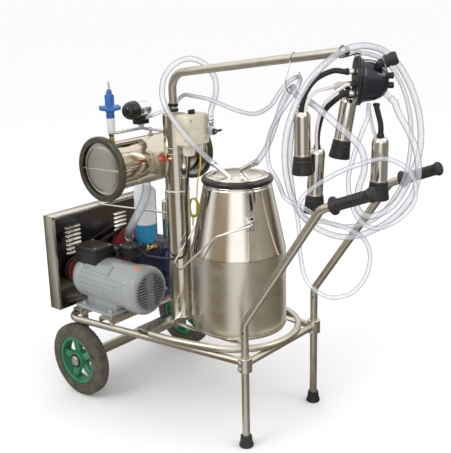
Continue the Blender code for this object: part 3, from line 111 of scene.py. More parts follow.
# ---- materials ------------------------------------------------------------------------
class Nodes:
    """A node tree, with short ways to add and join nodes."""

    def __init__(self, tree):
        self.tree = tree

    def add(self, kind, **values):
        node = self.tree.nodes.new(kind)
        for key, value in values.items():
            if hasattr(node, key):
                setattr(node, key, value)
            else:
                node.inputs[key.replace("_", " ")].default_value = value
        return node

    def join(self, source, target):
        self.tree.links.new(source, target)

    def noise(self, scale, stretch=(1, 1, 1), detail=4.0, roughness=0.55):
        """Noise laid through the piece's own space, stretched along its axes."""
        where = self.add("ShaderNodeTexCoord")
        mapping = self.add("ShaderNodeMapping", Scale=stretch)
        noise = self.add("ShaderNodeTexNoise", Scale=scale, Detail=detail, Roughness=roughness)
        self.join(where.outputs["Object"], mapping.inputs["Vector"])
        self.join(mapping.outputs["Vector"], noise.inputs["Vector"])
        return noise.outputs["Fac"]

    def between(self, factor, low, high):
        """A factor taken from its middle range to low .. high."""
        span = self.add("ShaderNodeMapRange", From_Min=0.3, From_Max=0.7, To_Min=low, To_Max=high)
        self.join(factor, span.inputs["Value"])
        return span.outputs["Result"]

    def colours(self, factor, stops):
        """The colour that a ramp with these stops gives for a factor."""
        ramp = self.add("ShaderNodeValToRGB")
        elements = ramp.color_ramp.elements
        while len(elements) < len(stops):
            elements.new(0.5)
        for element, (position, colour) in zip(elements, stops):
            element.position = position
            element.color = (*colour, 1.0)
        self.join(factor, ramp.inputs["Fac"])
        return ramp.outputs["Color"]

    def mixed(self, factor, first, second):
        """Two colour outputs, or an output and a plain colour, mixed by a factor."""
        mix = self.add("ShaderNodeMix", data_type="RGBA")
        self.join(factor, mix.inputs["Factor"])
        for source, socket in ((first, mix.inputs["A"]), (second, mix.inputs["B"])):
            if isinstance(source, tuple):
                socket.default_value = (*source, 1.0)
            else:
                self.join(source, socket)
        return mix.outputs["Result"]

    def for_reflections(self, plain, reflected, output):
        """Send the plain shader to the output, but the other one to what glossy rays see."""
        path = self.add("ShaderNodeLightPath")
        choose = self.add("ShaderNodeMixShader")
        self.join(path.outputs["Is Glossy Ray"], choose.inputs["Fac"])
        self.join(plain, choose.inputs[1])
        self.join(reflected, choose.inputs[2])
        self.join(choose.outputs["Shader"], self.tree.nodes[output].inputs["Surface"])


class Surface(Nodes):
    """A new material's node tree round its main shader."""

    def __init__(self, name):
        self.material = bpy.data.materials.new(name)
        self.material.use_nodes = True
        super().__init__(self.material.node_tree)
        self.shader = self.tree.nodes["Principled BSDF"]

    def set(self, **values):
        for key, value in values.items():
            self.shader.inputs[key.replace("_", " ")].default_value = value

    def link(self, source, socket):
        self.join(source, self.shader.inputs[socket])

    def bump(self, height, strength, distance):
        bump = self.add("ShaderNodeBump", Strength=strength, Distance=distance)
        self.join(height, bump.inputs["Height"])
        self.link(bump.outputs["Normal"], "Normal")


def shade(colour, factor):
    """A colour made lighter or darker."""
    return tuple(min(1.0, c * factor) for c in colour)


def metal(name, colour, rough, streaks=(1, 1, 1), contrast=0.12, grain=60.0, lines=0.25):
    """Bare metal: fine brush lines along one direction, faint stains and uneven gloss."""
    n = Surface(name)
    brushed = n.noise(grain, streaks, 3.0)
    stains = n.noise(9.0, (1, 1, 1), 5.0)
    base = n.colours(brushed, [(0.30, shade(colour, 1 - contrast)),
                               (0.70, shade(colour, 1 + contrast))])
    base = n.mixed(n.between(stains, 0.0, 0.30), base, shade(colour, 0.72))
    n.link(base, "Base Color")
    n.link(n.between(brushed, rough * 0.80, rough * 1.25), "Roughness")
    n.set(Metallic=1.0)
    n.bump(brushed, lines, 0.0002)
    return n.material


def moulded(name, colour, rough, spread=0.18, grain=260.0, relief=0.2, dust=None, dusty=0.35,
            coat=0.0, edge_highlight=None):
    """Plastic, rubber or paint: mottled colour, fine texture, dust, and a painted highlight on convex
    edges.
    """
    n = Surface(name)
    cloud = n.noise(14.0, (1, 1, 1), 6.0)
    fine = n.noise(grain, (1, 1, 1), 3.0)
    base = n.colours(cloud, [(0.32, shade(colour, 1 - spread)), (0.68, shade(colour, 1 + spread))])
    if dust:
        settled = n.noise(38.0, (1, 1, 1), 8.0, 0.7)
        base = n.mixed(n.between(settled, 0.0, dusty), base, dust)
    # painted highlight: convex edges are mixed toward a lighter colour of the same hue
    if edge_highlight:
        edge = n.add("ShaderNodeNewGeometry").outputs["Pointiness"]
        line = n.add("ShaderNodeMapRange", From_Min=0.53, From_Max=0.60, To_Min=0.0, To_Max=0.8)
        n.join(edge, line.inputs["Value"])
        base = n.mixed(line.outputs["Result"], base, edge_highlight)
    n.link(base, "Base Color")
    n.link(n.between(cloud, rough * 0.85, min(1.0, rough * 1.2)), "Roughness")
    n.set(Coat_Weight=coat)
    n.bump(fine, relief, 0.0004)
    return n.material


def see_through(name, edge, middle, open_middle, open_edge, rough=0.12, cloudy=0.06, coat=0.2):
    """Clear soft plastic: thin looking in the middle, denser where seen edge on, its colour darkened
    towards the edges with painted shade.
    """
    n = Surface(name)
    facing = n.add("ShaderNodeLayerWeight", Blend=0.35).outputs["Facing"]
    haze = n.noise(30.0, (1, 1, 1), 4.0)
    # painted shade: the colour runs from the middle colour to the darker edge colour as the wall turns edge
    # on
    base = n.colours(facing, [(0.05, middle), (0.55, edge), (0.95, shade(edge, 0.82))])
    n.link(base, "Base Color")
    rise = n.add("ShaderNodeMapRange", From_Min=0.05, From_Max=0.65, To_Min=open_middle,
                 To_Max=open_edge)
    n.join(facing, rise.inputs["Value"])
    veil = n.add("ShaderNodeMath", operation="ADD", use_clamp=True)
    n.join(rise.outputs["Result"], veil.inputs[0])
    n.join(n.between(haze, 0.0, cloudy), veil.inputs[1])
    n.link(veil.outputs["Value"], "Alpha")
    n.link(n.between(haze, rough, rough * 1.8), "Roughness")
    n.set(Coat_Weight=coat)
    n.bump(haze, 0.08, 0.0006)
    return n.material


DUST = (0.30, 0.26, 0.20)
METALS = {  # colour, roughness, stretch of its brush lines, contrast, grain, depth
    "tube": ((0.62, 0.59, 0.50), 0.38, (1, 1, 1), 0.04, 40.0, 0.03),
    "sheet": ((0.70, 0.67, 0.60), 0.24, (1, 5, 1), 0.04, 30.0, 0.06),
    # painted reflection and shade: the guard's back plate is the same sheet made darker, with upright
    # streaks
    "sheet_painted_reflections": ((0.26, 0.24, 0.22), 0.20, (1, 14, 1), 0.20, 30.0, 0.15),
    "bucket_wall": ((0.80, 0.76, 0.67), 0.31, (1, 1, 2), 0.02, 14.0, 0.02),
    "polished": ((0.83, 0.80, 0.74), 0.10, (1, 1, 1), 0.05, 12.0, 0.04),
    "tank_side": ((0.70, 0.63, 0.52), 0.11, (1, 14, 1), 0.06, 14.0, 0.05),
    "tank_face": ((0.62, 0.61, 0.57), 0.22, (1, 1, 3), 0.06, 18.0, 0.05),
    "post_side": ((0.76, 0.72, 0.63), 0.14, (1, 1, 8), 0.05, 16.0, 0.05),
    "chrome": ((0.86, 0.86, 0.86), 0.07, (1, 1, 1), 0.04, 12.0, 0.03),
    "zinc": ((0.66, 0.66, 0.67), 0.30, (1, 1, 1), 0.12, 90.0, 0.20),
    "brass": ((0.62, 0.42, 0.17), 0.26, (1, 1, 1), 0.14, 60.0, 0.15),
    "wire": ((0.80, 0.77, 0.70), 0.20, (1, 1, 1), 0.06, 50.0, 0.08),
}
MOULDED = {  # colour, roughness, spread, grain, relief, dust and how much, coat, painted highlight on convex edges
    "rubber": ((0.010, 0.010, 0.011), 0.42, 0.3, 300.0, 0.15, DUST, 0.04),
    "seal": ((0.008, 0.008, 0.008), 0.26, 0.3, 200.0, 0.12, DUST, 0.03),
    "tank_ring": ((0.016, 0.015, 0.008), 0.30, 0.9, 120.0, 0.8, (0.14, 0.13, 0.07), 0.30, 0.2),
    "tyre": ((0.036, 0.034, 0.030), 0.78, 0.35, 150.0, 0.8, (0.26, 0.23, 0.15), 0.34),
    "black": ((0.011, 0.010, 0.010), 0.32, 0.25, 380.0, 0.20, DUST, 0.04),
    "gloss_black": ((0.007, 0.007, 0.008), 0.20, 0.25, 300.0, 0.08, DUST, 0.02),
    "grey_paint": ((0.290, 0.305, 0.312), 0.24, 0.05, 120.0, 0.10, (0.32, 0.32, 0.31), 0.20, 0.5),
    "grille": ((0.150, 0.160, 0.170), 0.42, 0.10, 120.0, 0.15, (0.30, 0.29, 0.26), 0.25),
    "navy": ((0.006, 0.010, 0.060), 0.30, 0.35, 70.0, 0.45, (0.05, 0.06, 0.12), 0.35, 0.4,
             (0.05, 0.08, 0.26)),
    "red_paint": ((0.21, 0.014, 0.016), 0.34, 0.25, 90.0, 0.25, DUST, 0.12, 0.2),
    "red": ((0.48, 0.045, 0.030), 0.35, 0.15, 200.0, 0.15, DUST, 0.08),
    "blue": ((0.006, 0.085, 0.340), 0.28, 0.15, 180.0, 0.12, (0.06, 0.20, 0.48), 0.20, 0.3,
             (0.04, 0.19, 0.52)),
    "cup_blue": ((0.010, 0.215, 0.430), 0.28, 0.15, 120.0, 0.12, (0.04, 0.30, 0.50), 0.3, 0.3),
    "green": ((0.020, 0.215, 0.105), 0.42, 0.22, 110.0, 0.50, (0.10, 0.16, 0.09), 0.40, 0.1,
              (0.10, 0.36, 0.22)),
    "cream": ((0.66, 0.61, 0.48), 0.42, 0.06, 240.0, 0.15, (0.50, 0.42, 0.28), 0.20),
    "yellow": ((0.78, 0.60, 0.012), 0.35, 0.10, 200.0, 0.10, (0.62, 0.50, 0.05), 0.3),
    "orange": ((0.62, 0.22, 0.06), 0.40, 0.10, 200.0, 0.10, (0.62, 0.40, 0.2), 0.2),
    "white": ((0.74, 0.73, 0.70), 0.40, 0.06, 200.0, 0.10, (0.50, 0.47, 0.40), 0.15),
    # painted shade: flat black set where a hole or hollow shows dark
    "painted_shade_black": ((0.006, 0.006, 0.007), 0.80, 0.3, 200.0, 0.10, DUST, 0.03),
    "pink_tube": ((0.74, 0.69, 0.68), 0.28, 0.05, 160.0, 0.10, (0.80, 0.76, 0.76), 0.3, 0.2),
}
SEE_THROUGH = {  # edge colour (painted shade), middle, how solid the middle and the edge are, roughness, haze, coat
    "hose": ((0.20, 0.21, 0.26), (0.80, 0.81, 0.86), 0.30, 0.86, 0.07, 0.05, 0.6),
    "suction": ((0.30, 0.31, 0.33), (0.70, 0.72, 0.74), 0.34, 0.88, 0.14),
    "bottle": ((0.74, 0.75, 0.79), (0.86, 0.87, 0.90), 0.80, 0.97, 0.22),
    "bowl": ((0.004, 0.004, 0.007), (0.009, 0.010, 0.018), 0.90, 0.98, 0.06),
    "sleeve": ((0.66, 0.68, 0.72), (0.90, 0.91, 0.94), 0.55, 0.95, 0.12),
}
M = {name: metal(name, *look) for name, look in METALS.items()}
M.update({name: moulded(name, *look) for name, look in MOULDED.items()})
M.update({name: see_through(name, *look) for name, look in SEE_THROUGH.items()})


# ---- solids ---------------------------------------------------------------------------
def axis_matrix(origin, direction):
    """A frame at origin whose Z runs along direction."""
    turn = vec(0, 0, 1).rotation_difference(Vector(direction).normalized())
    return Matrix.Translation(Vector(origin)) @ turn.to_matrix().to_4x4()


def solid(builder, material):
    """The built faces as a mesh of one material, facing out."""
    bmesh.ops.recalc_face_normals(builder, faces=builder.faces)
    mesh = bpy.data.meshes.new("solid")
    builder.to_mesh(mesh)
    builder.free()
    mesh.materials.append(M[material])
    return mesh


def slab(low, high, material, bevel=0.001, segments=2, matrix=None):
    """An upright block between two corners, with rounded edges."""
    low, high = Vector(low), Vector(high)
    builder = bmesh.new()
    bmesh.ops.create_cube(builder, size=1.0)
    bmesh.ops.scale(builder, vec=high - low, verts=builder.verts)
    if bevel:
        bevel = min(bevel, 0.45 * min(high - low))
        bmesh.ops.bevel(builder, geom=builder.edges[:], offset=bevel, segments=segments,
                        affect="EDGES", profile=0.5)
    bmesh.ops.translate(builder, vec=(low + high) / 2, verts=builder.verts)
    if matrix is not None:
        builder.transform(matrix)
    return solid(builder, material)


def prism(outline, low, high, axis, material, bevel=0.0008):
    """A flat outline given thickness along X, Y or Z, its edges eased."""
    place = {"X": lambda a, b, c: (c, a, b), "Y": lambda a, b, c: (a, c, b),
             "Z": lambda a, b, c: (a, b, c)}[axis]
    builder = bmesh.new()
    ends = [[builder.verts.new(place(a, b, level)) for a, b in outline] for level in (low, high)]
    builder.faces.new(ends[0])
    builder.faces.new(ends[1])
    count = len(outline)
    for i in range(count):
        j = (i + 1) % count
        builder.faces.new((ends[0][i], ends[0][j], ends[1][j], ends[1][i]))
    if bevel:
        bmesh.ops.bevel(builder, geom=builder.edges[:], offset=bevel, segments=2, affect="EDGES",
                        profile=0.5, clamp_overlap=True)
    return solid(builder, material)


def eased(profile, radius=0.001, steps=3, closed=False):
    """A profile with its corners rounded off."""
    count = len(profile)
    points = [Vector(p) for p in profile]
    out = []
    for i, corner in enumerate(points):
        if not closed and i in (0, count - 1):
            out.append(tuple(corner))
            continue
        before, after = points[i - 1], points[(i + 1) % count]
        a, b = before - corner, after - corner
        cut = min(radius, 0.45 * a.length, 0.45 * b.length)
        if a.length < 1e-6 or b.length < 1e-6 or a.angle(b) > NEARLY_STRAIGHT:
            out.append(tuple(corner))
            continue
        start, end = corner + a.normalized() * cut, corner + b.normalized() * cut
        for k in range(steps + 1):
            t = k / steps
            out.append(tuple(start * (1 - t) ** 2 + corner * 2 * t * (1 - t) + end * t * t))
    return out


def lathe(profile, origin, direction, material, sides=64, closed=False, ease=0.0008):
    """A turned solid from (radius, height) pairs."""
    if ease:
        profile = eased(profile, ease, 3, closed)
    place = axis_matrix(origin, direction)
    builder = bmesh.new()
    rings = []
    for radius, height in profile:
        if radius < 1e-6:
            rings.append([builder.verts.new(place @ vec(0, 0, height))])
            continue
        rings.append([builder.verts.new(place @ vec(radius * cos(2 * pi * i / sides),
                                                        radius * sin(2 * pi * i / sides), height))
                      for i in range(sides)])
    pairs = list(zip(rings, rings[1:])) + ([(rings[-1], rings[0])] if closed else [])
    for a, b in pairs:
        for i in range(sides):
            j = (i + 1) % sides
            corners = [a[i % len(a)], a[j % len(a)], b[j % len(b)], b[i % len(b)]]
            corners = list(dict.fromkeys(corners))
            if len(corners) > 2:
                builder.faces.new(corners)
    return solid(builder, material)


def rod(start, end, radius, material, sides=32, ease=0.0006):
    """A round bar with eased ends."""
    start, end = Vector(start), Vector(end)
    length = (end - start).length
    profile = [(0, 0), (radius, 0), (radius, length), (0, length)]
    return lathe(profile, start, end - start, material, sides, False, ease)


def sweep(points, radius, material, sides=20, closed=False):
    """A round tube or wire along points; radius is one number or one for each point."""
    points = [Vector(p) for p in points]
    radii = radius if isinstance(radius, list) else [radius] * len(points)
    count = len(points)
    builder = bmesh.new()
    rings, side = [], None
    for i, point in enumerate(points):
        before = points[i - 1] if closed or i else point
        after = points[(i + 1) % count] if closed or i < count - 1 else point
        along = (after - before).normalized()
        if side is None:
            side = along.orthogonal().normalized()
        side = (side - along * side.dot(along)).normalized()
        up = along.cross(side)
        rings.append([builder.verts.new(point + side * radii[i] * cos(2 * pi * k / sides)
                                        + up * radii[i] * sin(2 * pi * k / sides))
                      for k in range(sides)])
    for a, b in list(zip(rings, rings[1:])) + ([(rings[-1], rings[0])] if closed else []):
        for k in range(sides):
            j = (k + 1) % sides
            builder.faces.new((a[k], a[j], b[j], b[k]))
    if not closed:
        builder.faces.new(rings[0])
        builder.faces.new(rings[-1])
    return solid(builder, material)


def ring(centre, direction, radius, thick, material, steps=48):
    """A round wire ring: a weld bead, a seal or a clip."""
    place = axis_matrix(centre, direction)
    points = [place @ vec(radius * cos(2 * pi * i / steps), radius * sin(2 * pi * i / steps), 0)
              for i in range(steps)]
    return sweep(points, thick, material, 10, True)


def band(centre, direction, radius, width, material, thick=0.0012, sides=48):
    """A flat strap round a tube."""
    w = width / 2
    profile = [(radius + thick, w), (radius + thick, -w), (radius, -w), (radius, w)]
    return lathe(profile, centre, direction, material, sides, True, 0.0003)


def bolt(at, direction, material="zinc", across=0.006, height=0.005):
    """A hexagon head on a washer."""
    at, direction = Vector(at), Vector(direction).normalized()
    washer = rod(at, at + direction * 0.0014, across * 1.45, material, 24, 0.0003)
    head = lathe([(0, 0), (across, 0), (across, height * 0.85), (across * 0.86, height), (0, height)],
                 at + direction * 0.0014, direction, material, 6, False, 0)
    tip = rod(at + direction * height, at + direction * (height + 0.003), across * 0.5, material, 16)
    return [washer, head, tip]


def nut(at, direction, radius, height, material, ease=0.0006):
    """A hexagon nut, closed where the rod fills it."""
    profile = [(0, height), (radius, height), (radius, 0), (0, 0)]
    return lathe(profile, at, direction, material, 6, False, ease)


def spun(place, count, phase=0.0):
    """Copies of a frame, turned evenly round its Z axis."""
    return [place @ Matrix.Rotation(2 * pi * (i + phase) / count, 4, "Z") for i in range(count)]


def screw(at, direction, radius=0.0028, material="zinc"):
    """A low round screw head."""
    profile = [(0, 0.0016), (radius * 0.5, 0.0015), (radius * 0.9, 0.0009), (radius, 0), (0, 0)]
    return lathe(profile, at, direction, material, 20, False, 0.0002)


def carve(mesh, cutters):
    """The mesh with the cutters taken away."""
    scene = bpy.context.scene.collection
    body = bpy.data.objects.new("body", mesh)
    tool = bpy.data.objects.new("tool", merged("tool", cutters))
    scene.objects.link(body)
    scene.objects.link(tool)
    step = body.modifiers.new("carve", "BOOLEAN")
    step.operation, step.solver, step.object = "DIFFERENCE", "EXACT", tool
    bpy.context.view_layer.update()
    result = bpy.data.meshes.new_from_object(body.evaluated_get(bpy.context.evaluated_depsgraph_get()))
    bpy.data.objects.remove(body)
    bpy.data.objects.remove(tool)
    while len(result.materials) > 1:
        result.materials.pop()
    for face in result.polygons:
        face.material_index = 0
    return result


def merged(name, solids):
    """Several solids as one mesh, each keeping its material."""
    flat = []
    for item in solids:
        flat += item if isinstance(item, list) else [item]
    materials = []
    builder = bmesh.new()
    for mesh in flat:
        start = len(builder.faces)
        builder.from_mesh(mesh)
        builder.faces.ensure_lookup_table()
        material = mesh.materials[0]
        if material not in materials:
            materials.append(material)
        for face in builder.faces[start:]:
            face.material_index = materials.index(material)
    mesh = bpy.data.meshes.new(name)
    builder.to_mesh(mesh)
    builder.free()
    for material in materials:
        mesh.materials.append(material)
    return mesh


def piece(name, body, nodes, solids):
    """Join solids into one piece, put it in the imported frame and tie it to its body."""
    mesh = merged(name, solids)
    mesh.transform(Matrix.Translation(SHIFT))
    mesh.shade_smooth()
    mesh.set_sharp_from_angle(angle=SHARP_FROM)
    obj = bpy.data.objects.new(name, mesh)
    bpy.context.scene.collection.objects.link(obj)
    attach(obj, body)
    if nodes:
        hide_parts(*nodes)


def part(node, solids, body="chassis"):
    """The piece that stands for one CAD node."""
    piece(node + "_visual", body, [node], solids)


# ---- paths ----------------------------------------------------------------------------
def filleted(corners, radius, steps=8):
    """A polyline with each inner corner rounded by an arc."""
    corners = [Vector(c) for c in corners]
    radii = radius if isinstance(radius, (list, tuple)) else [radius] * (len(corners) - 2)
    path = [corners[0]]
    for before, corner, after, bend in zip(corners, corners[1:], corners[2:], radii):
        into, out = (corner - before).normalized(), (after - corner).normalized()
        turn = into.angle(out)
        if turn < 0.02:
            path.append(corner)
            continue
        centre = corner + (out - into).normalized() * bend / cos(turn / 2)
        first = corner - into * bend * sin(turn / 2) / cos(turn / 2) - centre
        spin_axis = into.cross(out).normalized()
        path += [centre + Matrix.Rotation(turn * i / steps, 3, spin_axis) @ first
                 for i in range(steps + 1)]
    path.append(corners[-1])
    return path


def smooth_route(points, spacing):
    """Points at an even spacing on a smooth curve through the route's own points."""
    knots = [Vector(p) for p in points]
    knots = [knots[0] * 2 - knots[1]] + knots + [knots[-1] * 2 - knots[-2]]
    fine = []
    for p0, p1, p2, p3 in zip(knots, knots[1:], knots[2:], knots[3:]):
        for i in range(24):
            t = i / 24
            fine.append(0.5 * (2 * p1 + (p2 - p0) * t + (2 * p0 - 5 * p1 + 4 * p2 - p3) * t * t
                               + (3 * p1 - p0 - 3 * p2 + p3) * t ** 3))
    fine.append(knots[-2])
    length = sum((b - a).length for a, b in zip(fine, fine[1:]))
    count = min(MOST_POINTS - 1, max(4, round(length / spacing)))
    step = length / count
    route, travelled, target = [fine[0]], 0.0, step
    for a, b in zip(fine, fine[1:]):
        stretch = (b - a).length
        while travelled + stretch >= target and len(route) < count:
            route.append(a.lerp(b, (target - travelled) / stretch))
            target += step
        travelled += stretch
    route.append(fine[-1])
    return route


# ---- camera ---------------------------------------------------------------------------
CAMERA_PLACE = vec(1.405, -1.896, 1.361)
CAMERA_AZIMUTH, CAMERA_PITCH, CAMERA_ROLL = radians(40.57), radians(16.56), radians(-1.34)
CAMERA_LENS, CAMERA_SENSOR = 65.09, 36.0


def camera():
    """The camera at the photograph's viewing angle."""
    azimuth, pitch, roll = CAMERA_AZIMUTH, CAMERA_PITCH, CAMERA_ROLL
    back = vec(sin(azimuth) * cos(pitch), -cos(azimuth) * cos(pitch), sin(pitch))
    level = vec(cos(azimuth), sin(azimuth), 0)
    upright = back.cross(level)
    right = level * cos(roll) + upright * sin(roll)
    up = upright * cos(roll) - level * sin(roll)
    data = bpy.data.cameras.new("camera")
    data.sensor_width = CAMERA_SENSOR
    data.lens = CAMERA_LENS
    data.clip_end = 500.0
    obj = bpy.data.objects.new("camera", data)
    bpy.context.scene.collection.objects.link(obj)
    turn = Matrix((right, up, back)).transposed().to_4x4()
    obj.matrix_world = Matrix.Translation(CAMERA_PLACE + SHIFT) @ turn
    bpy.context.scene.camera = obj


# ---- cords ----------------------------------------------------------------------------
TAP = vec(-0.250, -0.020, 0.925)
PULSATOR = vec(TANK_X, -0.100, 0.980)
PULSATOR_OUTLET = (PULSATOR + vec(0.008, 0.030, -0.030), PULSATOR + vec(0.034, 0.040, -0.020))
PUMP_INLET = (vec(-0.705, 0.062, 0.448), vec(-0.662, -0.002, 0.500))
LEFT_NIPPLE = [vec(-0.143, -0.060, 0.7985), vec(-0.198, -0.062, 0.830)]
RIGHT_NIPPLE = [vec(-0.097, -0.038, 0.7975), vec(-0.112, -0.050, 0.823),
                vec(-0.069, -0.042, 0.848)]
CLAW_OUTLET = ((0.085, CLAW_Z - 0.026, 0.010), (0.104, CLAW_Z - 0.044, 0.012))
BOX_LOW = vec(POST_X + POST_R + GAP, -0.110, 0.852)
BOX_HIGH = vec(-0.264, -0.012, 0.980)

HOSE_D, PULSE_D, SUCTION_D, CABLE_D, WIRE_D = 0.017, 0.012, 0.028, 0.008, 0.0044
VACUUM_HOSE_YIELDS = mm((-250, -100, 955), (-250, -100, 868))   # where it gives to the lid
MILK_HOSE_YIELDS = mm((35, -50, 900), (-50, -50, 900))
VACUUM_HOSE = mm(  # from the tap, over the bar and down to the lid
    (-240, -20, 1010), (-222, -24, 1050), (-226, -28, 1094), (-254, -38, 1130), (-292, -60, 1146),
    (-330, -88, 1130), (-356, -108, 1090), (-361, -115, 1042), (-336, -126, 1003),
    (-285, -134, 956), (-243, -110, 898), (-224, -66, 848))
MILK_HOSE_CLUSTER = mm(  # in the cluster's frame, from the claw's outlet round
    (126, 1030, 16), (154, 980, 20), (176, 925, 24), (182, 860, 26), (163, 800, 26), (117, 745, 22),
    (51, 704, 14), (-20, 694, 6), (-93, 726, -4), (-142, 790, -14), (-166, 894, -4),
    (-158, 1000, 10), (-114, 1104, 24), (-41, 1178, 20), (30, 1200, 4), (102, 1176, -20),
    (158, 1105, -30), (190, 1014, -26), (192, 926, -10), (165, 850, 2), (118, 790, 40),
    (60, 762, 52), (20, 785, 62), (20, 840, 66), (34, 895, 64), (22, 950, 62), (-35, 1006, 60),
    (-74, 1040, 40), (-96, 1056, 2), (-114, 1065, -22), (-133, 1073, -34))
MILK_HOSE_BUCKET = mm(  # on through the hook and down to the lid
    (122, -104, 1083), (92, -67, 1085), (66, -60, 1064), (44, -58, 1025), (20, -54, 970),
    (-16, -44, 905))
PULSE_HOSE_PULSATOR = mm(  # from the pulsator past the mast and through the hook
    (-432, -38, 977), (-398, -16, 1005), (-350, -28, 1030), (-300, -45, 1032), (-235, -57, 1030),
    (-165, -64, 1018), (-95, -68, 1004), (-30, -76, 1004), (25, -82, 1030), (60, -86, 1070),
    (92, -85, 1102), (125, -90, 1117), (150, -116, 1108), (146, -147, 1072), (112, -152, 1026),
    (70, -138, 974), (46, -122, 920), (52, -122, 870), (92, -138, 838))
PULSE_HOSE_CLUSTER = mm(  # in the cluster's frame, back to the claw
    (-164, 804, 12), (-116, 780, 20), (-60, 742, 24), (0, 728, 26), (77, 738, -4), (132, 800, -10),
    (160, 866, -16), (172, 950, -30), (166, 1030, -46), (142, 1100, -52), (96, 1158, -44),
    (30, 1180, -32), (-36, 1170, -60), (-100, 1094, -50), (-138, 1004, -40), (-150, 900, -36),
    (-140, 800, -40), (-128, 720, -24), (-124, 640, -4), (-110, 574, 12), (-75, 538, 22),
    (-33, 526, 30), (14, 542, 36), (48, 588, 42), (58, 648, 50), (40, 700, 58), (-10, 738, 74),
    (-66, 748, 48), (-112, 752, 40), (-134, 790, 44), (-110, 832, 50), (-47, 880, 70),
    (19, 912, 90), (85, 918, 60), (138, 896, 60), (168, 850, 58), (166, 796, 56), (126, 752, 58),
    (66, 736, 76), (20, 764, 86), (0, 810, 75), (-4, 860, 45), (10, 920, 35), (30, 980, 30))
SUCTION_HOSE = [(TANK_X, -0.066, TANK_Z - TANK_R - 0.0012), (TANK_X, -0.066, 0.716),
                (-0.502, -0.072, 0.690), (-0.515, -0.083, 0.652), (-0.548, -0.086, 0.602),
                (-0.592, -0.067, 0.558)]
MOTOR_CABLE = [(-0.298, -0.072, BOX_LOW.z - GAP), (-0.298, -0.072, 0.835),
               (-0.300, -0.078, 0.790), (-0.303, -0.086, 0.730), (-0.302, -0.090, 0.660),
               (-0.299, -0.094, 0.596), (-0.300, -0.099, 0.556), (-0.310, -0.105, 0.528),
               (-0.345, -0.116, 0.516), (-0.400, -0.125, 0.512), (-0.460, -0.118, 0.506),
               (-0.505, -0.090, 0.498), (-0.532, -0.070, 0.493), (-0.5555, -0.070, 0.493)]
EARTH_COIL = [(-0.341 + 0.018 * cos(t * pi / 6), -0.019 + 0.00052 * t, 0.664 - 0.031 * sin(t * pi / 6))
              for t in range(29)]     # the spare wire, in a little over two turns
EARTH_WIRE = [(-0.290, -0.030, BOX_LOW.z + 0.0114), (-0.290, -0.030, 0.845),
              (-0.296, -0.026, 0.800), (-0.313, -0.020, 0.760), (-0.320, -0.019, 0.708),
              *EARTH_COIL, (-0.354, -0.004, 0.620), (-0.355, -0.005, 0.600)]


def beyond(path, distance):
    """A point past the end of a pipe, along its last stretch."""
    return path[-1] + (path[-1] - path[-2]).normalized() * distance


def routed(points, diameter):
    """The cord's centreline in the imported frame; its two end points are kept exactly."""
    inner = smooth_route(points[1:-1], max(diameter * 0.45, 0.004))
    return [Vector(p) + SHIFT for p in [points[0], *inner, points[-1]]]


def lay_cord(name, points, diameter, material):
    """A cord that rides whole on the chassis, as a curve of one spline."""
    path = routed(points, diameter)
    data = bpy.data.curves.new(name, "CURVE")
    data.dimensions = "3D"
    spline = data.splines.new("POLY")
    spline.points.add(len(path) - 1)
    for target, point in zip(spline.points, path):
        target.co = (*point, 1.0)
    spline.use_smooth = True
    data.bevel_depth = diameter / 2
    data.bevel_resolution = 5
    data.use_fill_caps = True
    data.materials.append(M[material])
    obj = bpy.data.objects.new(name + "_visual", data)
    bpy.context.scene.collection.objects.link(obj)
    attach(obj, "chassis")
    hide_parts(name)


def lay_lid_hose(name, points, diameter, start, end, lay):
    """A hose swept along its route as one smooth mesh."""
    path = routed(points, diameter)
    mesh = sweep(path, diameter / 2, "hose", 24)
    mesh.shade_smooth()
    mesh.set_sharp_from_angle(angle=HOSE_SHARP_FROM)
    obj = bpy.data.objects.new(name + "_visual", mesh)
    bpy.context.scene.collection.objects.link(obj)
    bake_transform(obj)
    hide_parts(name)


def cords():
    """The six free hoses and cables, on the same routes as their CAD solids."""
    ferrule = [TAP, TAP + vec(0, 0, 0.044)]
    vacuum = [beyond(ferrule, GAP), beyond(ferrule, 0.020), *VACUUM_HOSE,
              beyond(LEFT_NIPPLE, 0.020), beyond(LEFT_NIPPLE, GAP)]
    lay_lid_hose("vacuum_hose", vacuum, HOSE_D, *VACUUM_HOSE_YIELDS, "hanging")
    outlet = [cluster(*p) for p in CLAW_OUTLET]
    milk = [beyond(outlet, GAP), beyond(outlet, 0.018), *(cluster(*p) for p in MILK_HOSE_CLUSTER),
            *MILK_HOSE_BUCKET, beyond(RIGHT_NIPPLE, 0.018), beyond(RIGHT_NIPPLE, GAP)]
    lay_lid_hose("milk_hose", milk, HOSE_D, *MILK_HOSE_YIELDS, "coiled")
    pulse = [beyond(PULSATOR_OUTLET, GAP), beyond(PULSATOR_OUTLET, 0.012), *PULSE_HOSE_PULSATOR,
             *(cluster(*p) for p in PULSE_HOSE_CLUSTER),
             cluster(0.048, CLAW_Z - 0.090, 0.022), cluster(0.048, CLAW_Z - 0.0565, 0.022)]
    lay_cord("pulse_hose", pulse, PULSE_D, "hose")
    suction = [*SUCTION_HOSE, beyond(PUMP_INLET, 0.036), beyond(PUMP_INLET, GAP)]
    lay_cord("suction_hose", suction, SUCTION_D, "suction")
    lay_cord("motor_cable", MOTOR_CABLE, CABLE_D, "rubber")
    lay_cord("earth_wire", EARTH_WIRE, WIRE_D, "yellow")


# ---- trolley frame --------------------------------------------------------------------
def rail_y(x):
    """How far out the frame's side rails are at x."""
    return RAIL_FRONT_Y - RAIL_SLOPE * x


